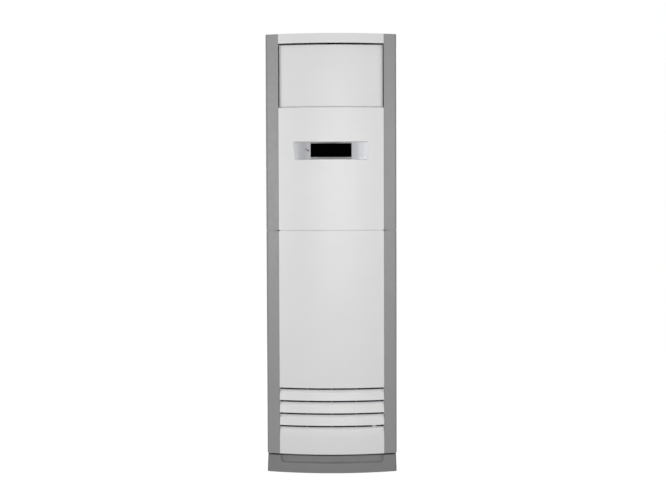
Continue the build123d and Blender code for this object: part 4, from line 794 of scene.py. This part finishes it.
def columnOutline(side):
    edgeX, sideX = halfWidth - column["width"], halfWidth
    wall = front["wall"]
    innerEnd = bowY(edgeX) + column["returnDepth"]
    outer = columnFront(edgeX, sideX, 0, column["corner"])
    inner = columnFront(edgeX + wall, sideX - wall, wall, column["corner"] - wall)
    outline = [(edgeX, innerEnd), *outer, (sideX, column["back"]), (sideX - wall, column["back"])]
    outline += [*reversed(inner), (edgeX + wall, innerEnd)]
    return [(side * x, y) for x, y in outline]


def solidColumn(side):
    edgeX = halfWidth - column["width"]
    outline = columnFront(edgeX, halfWidth, 0, column["corner"]) + [
        (halfWidth, column["back"]),
        (edgeX, column["back"]),
    ]
    return [(side * x, y) for x, y in outline]


def makeColumns(nodeName, plateAtTop):
    low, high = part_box(nodeName)
    wall = front["wall"]
    parts = []
    for side in (-1, 1):
        shell = prism(columnOutline(side), low.z, high.z)
        if plateAtTop:
            plate = prism(solidColumn(side), high.z - wall, high.z)
        else:
            plate = prism(solidColumn(side), low.z, low.z + wall)
        parts.append(roundEdges(combine(shell, [plate], "UNION"), *column["edge"]))
        if plateAtTop:
            near, far, lipLow, lipHigh = column["lip"]
            edgeX, inset = halfWidth - column["width"], column["lipInset"]
            outline = columnFront(edgeX + inset, halfWidth - near, near, column["corner"] - near)
            inner = columnFront(edgeX + inset, halfWidth - far, far, column["corner"] - far)
            parts.append(prism([(side * x, y) for x, y in outline + inner[::-1]], lipLow, lipHigh))
    replaceNode(nodeName, joined(*parts))


makeColumns("upper_columns", True)
makeColumns("lower_columns", False)
print("front shells done")

# lower front panel: skin, slats and the ribs behind them
lowerPanel = {
    "half": 0.2035,
    "firstSlot": 0.1831,
    "pitch": 0.0487,
    "slots": 4,
    "opening": 0.0066,
    "lean": 0.004,
    "setBack": 0.0040,  # a slat's upper band lies this far behind its face
    "step": 0.0032,
    "band": 0.0086,
    "bandLean": 0.0046,  # and leans forward, so that it stays in a soft shade
    "bandWall": 0.0020,
    "rim": 0.012,
    "edge": 0.0008,
    "ribPitch": 0.095,
    "ribs": 3,
    "ribWall": 0.0012,
    "rib": (0.00325, 0.0105),  # near and far
    "ribFoot": 0.009,  # above a slat's lower edge
    "ribTop": 0.02,  # below the next slat's
    "spine": (0.0100, 0.0118),
    "spinePast": 0.017,  # beyond the outermost slots
}


def slatOutline(height):
    # depth and level; the lower edge stands foremost
    wall, lean = front["wall"], lowerPanel["lean"]
    inmost, bandFoot = lean + lowerPanel["setBack"], height - lowerPanel["band"]
    faceEnd = bandFoot - lowerPanel["step"]
    top, skin = inmost - lowerPanel["bandLean"], lowerPanel["bandWall"]
    return [
        (0, 0),
        (lean, faceEnd),
        (inmost, bandFoot),
        (top, height),
        (top + skin, height),
        (inmost + skin, bandFoot - skin / 2),
        (lean + wall, faceEnd - skin / 2),
        (wall, 0),
    ]


def makeLowerPanel():
    low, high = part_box("lower_front_panel")
    half, wall, gap = lowerPanel["half"], front["wall"], lowerPanel["opening"] / 2
    pitch, rearmost = lowerPanel["pitch"], lowerPanel["lean"] + lowerPanel["setBack"]
    levels = [lowerPanel["firstSlot"] + k * pitch for k in range(lowerPanel["slots"])]
    # the slats between the slots, one shape repeated up the panel
    slat = roundEdges(prism(slatOutline(pitch - 2 * gap), -half, half, "X"), lowerPanel["edge"])
    row = {"Count": lowerPanel["slots"] - 1, "First": (0, 0, levels[0] + gap), "Step": (0, 0, pitch), **arc}
    slats = grow(makeRowRule("slatRow", "panel_white", bow=True), cutStrips(slat), row)
    # the skin above the slots and the apron below them
    upper = prism(rectangle(0, wall, levels[-1] + gap, high.z), -half, half, "X")
    bend = levels[0] - gap - (pitch - 2 * gap)
    apron = [(d, z + bend) for d, z in slatOutline(levels[0] - gap - bend)]
    apron = [(0, low.z), *apron[:-1], (wall, bend), (wall, low.z)]
    apron = prism(apron, -half, half, "X")
    skins = [roundEdges(block, lowerPanel["edge"]) for block in (apron, upper)]
    for side in (-1, 1):
        near, far = sorted((side * (half - wall), side * half))
        skins.append(
            boxBlock(near, far, rearmost + wall / 2, lowerPanel["rim"], low.z + wall, high.z - 2 * wall)
        )
    # stub ribs join each slat to the spine behind it
    ribWall, past = lowerPanel["ribWall"], lowerPanel["spinePast"]
    for k in range(lowerPanel["ribs"]):
        middle = (k - (lowerPanel["ribs"] - 1) / 2) * lowerPanel["ribPitch"]
        left, right = middle - ribWall / 2, middle + ribWall / 2
        skins.append(boxBlock(left, right, *lowerPanel["spine"], levels[0] - past, levels[-1] + past))
        for level in [levels[0] - pitch, *levels]:
            ribLow, ribHigh = level + gap + lowerPanel["ribFoot"], level + pitch - lowerPanel["ribTop"]
            skins.append(boxBlock(left, right, *lowerPanel["rib"], ribLow, ribHigh))
    replaceNode("lower_front_panel", joined(slats, bowed(joined(*skins))), "lowerPanel")


makeLowerPanel()
print("intake panel done")

# pieces that keep their solid's shape and get its edges rounded: width in millimetres, segments and angle
roundedPieces = {
    "plinth": (0.8, 3, 30),
    "top_cover": (1.5, 4, 30),
    "display_window": (0.4, 2, 30),
    "left_side_panel": (0.3, 2, 40),
    "right_side_panel": (0.3, 2, 40),
    "back_panel": (0.3, 2, 40),
    "base_plate": (0.4, 2, 30),
    "outlet_frame": (0.4, 2, 35),
    "cross_beam": (0.5, 2, 30),
    "control_box": (0.4, 2, 30),
    "control_box_cover": (0.4, 2, 30),
    "motor_bracket": (0.4, 2, 35),
    "hinge_brackets": (0.3, 2, 40),
    "panel_hinge_arms": (0.5, 2, 35),
    "door_rails": (0.3, 2, 35),
    "drain_pan": (1.5, 3, 35),
    "terminal_block": (0.5, 2, 35),
    "display_board": (0.3, 1, 35),
    "fan_motor": (0.8, 2, 40),
    "swing_motors": (0.8, 2, 40),
    "door_motor": (0.8, 2, 40),
    "filter_frame": (0.5, 2, 40),
}
for nodeName, (width, segments, angle) in roundedPieces.items():
    replaceNode(nodeName, roundEdges(solidCopy(nodeName), width / 1000, segments, angle))
print("rounded pieces:", len(roundedPieces))

# display bezel: the strips above and below the window slope in from its rim
bezel = {
    "edge": (0.0003, 2, 35),  # width, segments and angle
    "slopeHalf": 0.0788,
    "slopeSink": 0.0008,
    "lip": 0.0011,
    "seat": 0.0002,  # how far a slope's edges sink into the bezel, and its gap to the window
    "slopeSteps": 18,
    "wingDish": 0.0013,  # how much deeper the middle of a wing's face lies than in its solid
    "solidDish": 0.0006,  # and how deep it lies there
    "rimDepth": 0.0004,  # how far the rim lies behind the arc
    "halfWall": 0.0008,
}


def slopeStrip(flat, windowEdge, lipEdge):
    bm = bmesh.new()
    half, steps = bezel["slopeHalf"], bezel["slopeSteps"]
    corners = []
    for k in range(steps + 1):
        x = -half + 2 * half * k / steps
        spots = [
            (x, bowY(x, bezel["slopeSink"]), lipEdge),
            (x, flat, windowEdge),
            (x, flat + bezel["seat"], lipEdge),
        ]
        corners.append([bm.verts.new(spot) for spot in spots])
    for one, two in zip(corners, corners[1:]):
        for k in range(3):
            bm.faces.new((one[k - 1], one[k], two[k], two[k - 1]))
    bm.faces.new(corners[0])
    bm.faces.new(corners[-1])
    bmesh.ops.recalc_face_normals(bm, faces=bm.faces)
    return bm


def dishWings(bm, inner, outer, flat):
    # only the face gets deeper, not the back, against which the button sits
    cutStrips(bm)
    rise = bowY(outer, bezel["rimDepth"]) - flat
    for vert in bm.verts:
        share = (abs(vert.co.x) - inner) / (outer - inner)
        curve = 4 * share * (1 - share)
        middleOfWall = flat + rise * share + curve * bezel["solidDish"] + bezel["halfWall"]
        onRim = abs(vert.co.y - bowY(vert.co.x, bezel["rimDepth"])) < bezel["rimDepth"] / 2
        if 0 < share < 1 and vert.co.y < middleOfWall and not onRim:
            vert.co.y += curve * bezel["wingDish"]
    return bm


def makeBezel():
    low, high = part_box("display_bezel")
    windowLow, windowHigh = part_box("display_window")
    flat, lip, seat = windowLow.y + bezel["seat"] / 2, bezel["lip"], bezel["seat"]
    dish = dishWings(solidCopy("display_bezel"), windowHigh.x, high.x, windowLow.y)
    dish = roundEdges(dish, *bezel["edge"])
    below = slopeStrip(flat, windowLow.z - seat, low.z + lip)
    above = slopeStrip(flat, windowHigh.z + seat, high.z - lip)
    replaceNode("display_bezel", joined(dish, below, above))


makeBezel()

# receiver lens and hand button
lens = {"dome": 0.0006, "rings": 6, "steps": 40}
handButton = {
    "cap": 0.0021,
    "dish": 0.0005,
    "dishMiddle": (0.55, 0.5),  # shares of the cap's radius and of the dish
    "flange": 0.0008,
    "rim": ((0.0006, 0.00005), (0.0003, 0.0), (0.0, 0.0004)),  # in from the cap's edge, and down from its top
    "steps": 40,
}


def makeLens():
    low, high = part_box("receiver_lens")
    radius = (high.x - low.x) / 2
    profile = [(0, low.y)]
    for k in range(1, lens["rings"] + 1):
        share = k / lens["rings"]
        profile.append((radius * share, low.y + lens["dome"] * share**3))
    profile += [(radius, high.y), (0, high.y)]
    dome = moved(turned(profile, lens["steps"]), frontMiddle(low, high))
    replaceNode("receiver_lens", dome)


def makeButton():
    low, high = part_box("manual_button")
    flange, flangeTop = (high.x - low.x) / 2, high.y - handButton["flange"]
    cap, dish = handButton["cap"], handButton["dish"]
    across, down = handButton["dishMiddle"]
    profile = [(0, low.y + dish), (cap * across, low.y + dish * down)]
    profile += [(cap - inward, low.y + down) for inward, down in handButton["rim"]]
    profile += [(cap, flangeTop), (flange, flangeTop), (flange, high.y), (0, high.y)]
    button = moved(turned(profile, handButton["steps"]), frontMiddle(low, high))
    replaceNode("manual_button", button)


makeLens()
makeButton()

# rubber feet and the pipe hole's grommet
foot = {
    "radius": 0.020,
    "height": 0.008,
    "hollow": 0.0012,  # in the middle of the sole, and the slope at its edge
    "hollowShare": (0.45, 0.5),  # of the radius, at its bottom and at its rim
    "groove": 0.001,
    "grooveLevels": (0.0032, 0.0026, 0.0018, 0.0012),  # down from the top
    "x": 0.205,
    "y": (-0.06, 0.115),
    "steps": 56,
}
grommet = {
    "bore": 0.030,
    "lip": 0.037,
    "neck": 0.033,
    "round": 0.0008,
    "backFace": 0.1553,  # the back panel's two faces
    "innerFace": 0.1541,
    "steps": 72,
}


def makeFeet():
    radius, height, hollow = foot["radius"], foot["height"], foot["hollow"]
    neck, (bottom, rim) = radius - foot["groove"], foot["hollowShare"]
    grooveFoot, grooveLow, grooveHigh, grooveTop = (height - down for down in foot["grooveLevels"])
    profile = [
        (0, hollow),
        (radius * bottom, hollow),
        (radius * rim, 0),
        (radius - hollow, 0),
        (radius, hollow),
        (radius, grooveFoot),
        (neck, grooveLow),
        (neck, grooveHigh),
        (radius, grooveTop),
        (neck, height),
        (0, height),
    ]
    places = [(side * foot["x"], y, 0) for y in foot["y"] for side in (-1, 1)]
    feet = [moved(turned(profile, foot["steps"], "Z"), place) for place in places]
    replaceNode("rubber_feet", joined(*feet))


def makeGrommet():
    low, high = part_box("pipe_grommet")
    bore, lip, neck, small = (grommet[key] for key in ("bore", "lip", "neck", "round"))
    backFace, innerFace = grommet["backFace"], grommet["innerFace"]
    profile = [
        (bore, low.y + small),
        (bore + small, low.y),
        (lip - small, low.y),
        (lip, low.y + small),
        (lip, innerFace - small / 2),
        (lip - small, innerFace),
        (neck, innerFace),
        (neck, backFace),
        (lip - small, backFace),
        (lip, backFace + small / 2),
        (lip, high.y - small),
        (lip - small, high.y),
        (bore + small, high.y),
        (bore, high.y - small),
    ]
    ring = moved(turned(profile, grommet["steps"]), frontMiddle(low, high))
    replaceNode("pipe_grommet", ring)


makeFeet()
makeGrommet()

# cabinet screws: pan heads with a cross slot, in two rows down the back
screw = {
    "rows": 7,
    "x": 0.2405,
    "first": 0.112,
    "step": 0.2538,
    "head": 0.0040,
    "shank": 0.0018,
    "headLow": 0.1553,
    "dome": ((0.55, 0.00012), (0.85, 0.0006), (1.0, 0.0013)),  # share of the head's radius, and drop
    "point": (0.0006, 0.001),  # radius and length
    "slot": (0.0009, 0.0046),  # width and length of the cross
    "slotDepth": 0.0011,
    "slotPast": 0.001,
    "steps": 28,
}


def makeScrews():
    low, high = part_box("cabinet_screws")
    head, shank, seat, top = screw["head"], screw["shank"], screw["headLow"], high.y
    tip, tipLength = screw["point"]
    profile = [(0, top), *((head * share, top - drop) for share, drop in screw["dome"])]
    profile += [(head, seat), (shank, seat), (shank, low.y + tipLength), (tip, low.y), (0, low.y)]
    width, length = screw["slot"]
    deep, past = top - screw["slotDepth"], top + screw["slotPast"]
    crosses = []
    for across, up in ((length, width), (width, length)):
        crosses.append(boxBlock(-across / 2, across / 2, deep, past, -up / 2, up / 2))
    shape = combine(turned(profile, screw["steps"]), crosses)
    screwRule = makeRowRule("screwRow", "screw_steel")
    parts = []
    for side in (-1, 1):
        first = (side * screw["x"], 0, screw["first"])
        row = {"Count": screw["rows"], "First": first, "Step": (0, 0, screw["step"])}
        parts.append(grow(screwRule, shape.copy(), row))
    shape.free()
    replaceNode("cabinet_screws", joined(*parts))


makeScrews()
print("back pieces done")

# filter net
net = {
    "thread": 0.0011,
    "sides": 4,  # of a thread
    "weave": 0.0021,  # drawn coarser than the real 1 mm weave, so that it shows
    "panes": 3,
    "depth": 0.0145,
    "cross": 0.3,  # how far warp and weft lie off that depth, in threads
    "bar": 0.004,
}


def makeFilterNet():
    low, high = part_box("filter_mesh")
    across = (high.x - low.x - (net["panes"] - 1) * net["bar"]) / net["panes"]
    thread, weave, depth = net["thread"], net["weave"], net["depth"]
    apart, section = thread * net["cross"], roundOutline(thread / 2, net["sides"])
    warpRule = makeRowRule("warpThreads", "filter_net", bow=True)
    weftRule = makeRowRule("weftThreads", "filter_net", bow=True)
    parts = []
    for pane in range(net["panes"]):
        left = low.x + pane * (across + net["bar"])
        count = int(across / weave)
        first = left + (across - (count - 1) * weave) / 2
        warp = prism([(x, depth - apart + y) for x, y in section], low.z, high.z)
        row = {"Count": count, "First": (first, 0, 0), "Step": (weave, 0, 0), **arc}
        parts.append(grow(warpRule, warp, row))
        rows = int((high.z - low.z) / weave)
        base = low.z + (high.z - low.z - (rows - 1) * weave) / 2
        weft = cutStrips(prism([(depth + apart + y, x) for x, y in section], 0, across, "X"))
        row = {"Count": rows, "First": (left, 0, base), "Step": (0, 0, weave), **arc}
        parts.append(grow(weftRule, weft, row))
    replaceNode("filter_mesh", joined(*parts), "filterNet")


makeFilterNet()

# coil fins: rolled foil with a wave along its depth
fins = {
    "count": 150,
    "foil": 0.00028,
    "wave": 0.0007,
    "folds": 8,
    "length": 0.400,
    "depth": 0.050,
    "lean": 18.0,  # degrees
    "smooth": 20.0,  # folds steeper than this stay sharp
}


def makeFins():
    low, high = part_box("fin_pack")
    half, deep = fins["length"] / 2, fins["depth"] / 2
    folds, foil = fins["folds"], fins["foil"]
    near = [(fins["wave"] * (1 if k % 2 else -1), -deep + 2 * deep * k / folds) for k in range(folds + 1)]
    sheet = prism(near + [(x + foil, y) for x, y in reversed(near)], -half, half)
    lean = Matrix.Rotation(-math.radians(fins["lean"]), 3, "X")
    middle = (low + high) / 2
    moved(sheet, (0, middle.y, middle.z), lean)
    first, last = low.x + fins["wave"], high.x - fins["wave"] - foil
    step = (last - first) / (fins["count"] - 1)
    row = {"Count": fins["count"], "First": (first, 0, 0), "Step": (step, 0, 0)}
    pack = grow(makeRowRule("finRow", "fin_aluminium"), sheet, row)
    replaceNode("fin_pack", pack, "coilFins", smoothAngle=fins["smooth"])


makeFins()

# fan wheel: swept blades between a plate and a ring
wheel = {
    "blades": 36,
    "bladeDepth": 0.024,
    "bladeWall": 0.0016,
    "bladeInset": 0.001,
    "bladeSteps": 6,
    "sweep": 7.0,  # degrees
    "camber": 0.0022,
    "ring": 0.020,
    "plate": 0.003,
    "hub": 0.026,
    "hubLength": 0.040,
    "hubRound": 0.002,
    "hubDraft": 0.001,
    "hubFlare": (0.009, 0.008),  # out and along, where it meets the plate
    "bore": 0.00605,
    "edge": 0.0007,
    "steps": 96,
    "smooth": 35.0,
}


def makeFanWheel():
    low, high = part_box("fan_wheel")
    radius, middle = (high.x - low.x) / 2, (low + high) / 2
    wall, deep = wheel["bladeWall"], wheel["bladeDepth"]
    inner, steps = radius - deep - wheel["bladeInset"], wheel["bladeSteps"]
    outer = []
    for k in range(steps + 1):
        outer.append((inner + deep * k / steps, wheel["camber"] * math.sin(math.pi * k / steps)))
    outline = outer + [(x, z - wall) for x, z in reversed(outer)]
    turn = Matrix.Rotation(math.radians(wheel["sweep"]), 2)
    pivot = Vector((inner + deep / 2, 0))
    outline = [tuple(pivot + turn @ (Vector(point) - pivot)) for point in outline]
    blade = prism(outline, low.y + wheel["plate"] / 2, high.y - wheel["plate"] / 2, "Y")
    place = (middle.x, 0, middle.z)
    ringOf = {"Count": wheel["blades"], "Turn": 2 * math.pi / wheel["blades"], "Middle": place}
    blades = grow(makeWheelRule("bladeRing", "scroll_plastic"), blade, ringOf)
    edge, plate, ringInner = wheel["edge"], wheel["plate"], radius - wheel["ring"]
    ring = [
        (ringInner, low.y + edge),
        (ringInner + edge, low.y),
        (radius - edge, low.y),
        (radius, low.y + edge),
        (radius, low.y + plate),
        (ringInner, low.y + plate),
    ]
    hub, bore, hubLow = wheel["hub"], wheel["bore"], high.y - wheel["hubLength"]
    hubRound, (flareOut, flareAlong) = wheel["hubRound"], wheel["hubFlare"]
    back = [
        (bore, hubLow + edge),
        (bore + edge, hubLow),
        (hub - hubRound, hubLow),
        (hub, hubLow + hubRound),
        (hub + wheel["hubDraft"], high.y - plate - flareAlong),
        (hub + flareOut, high.y - plate),
        (radius - edge, high.y - plate),
        (radius, high.y - plate + edge),
        (radius, high.y),
        (bore, high.y),
    ]
    whole = joined(blades, *(moved(turned(profile, wheel["steps"]), place) for profile in (ring, back)))
    replaceNode("fan_wheel", whole, smoothAngle=wheel["smooth"])


makeFanWheel()
print("filter, fins and fan done")

# louvers and vanes: edges rounded like a moulded blade's
blades = {"louver": 4, "vane": 5, "edge": (0.0007, 2, 50.0)}  # counts, then width, segments and angle
for kind in ("louver", "vane"):
    for number in range(1, blades[kind] + 1):
        nodeName = f"{kind}_{number}"
        replaceNode(nodeName, roundEdges(solidCopy(nodeName), *blades["edge"]))
print("blades done")
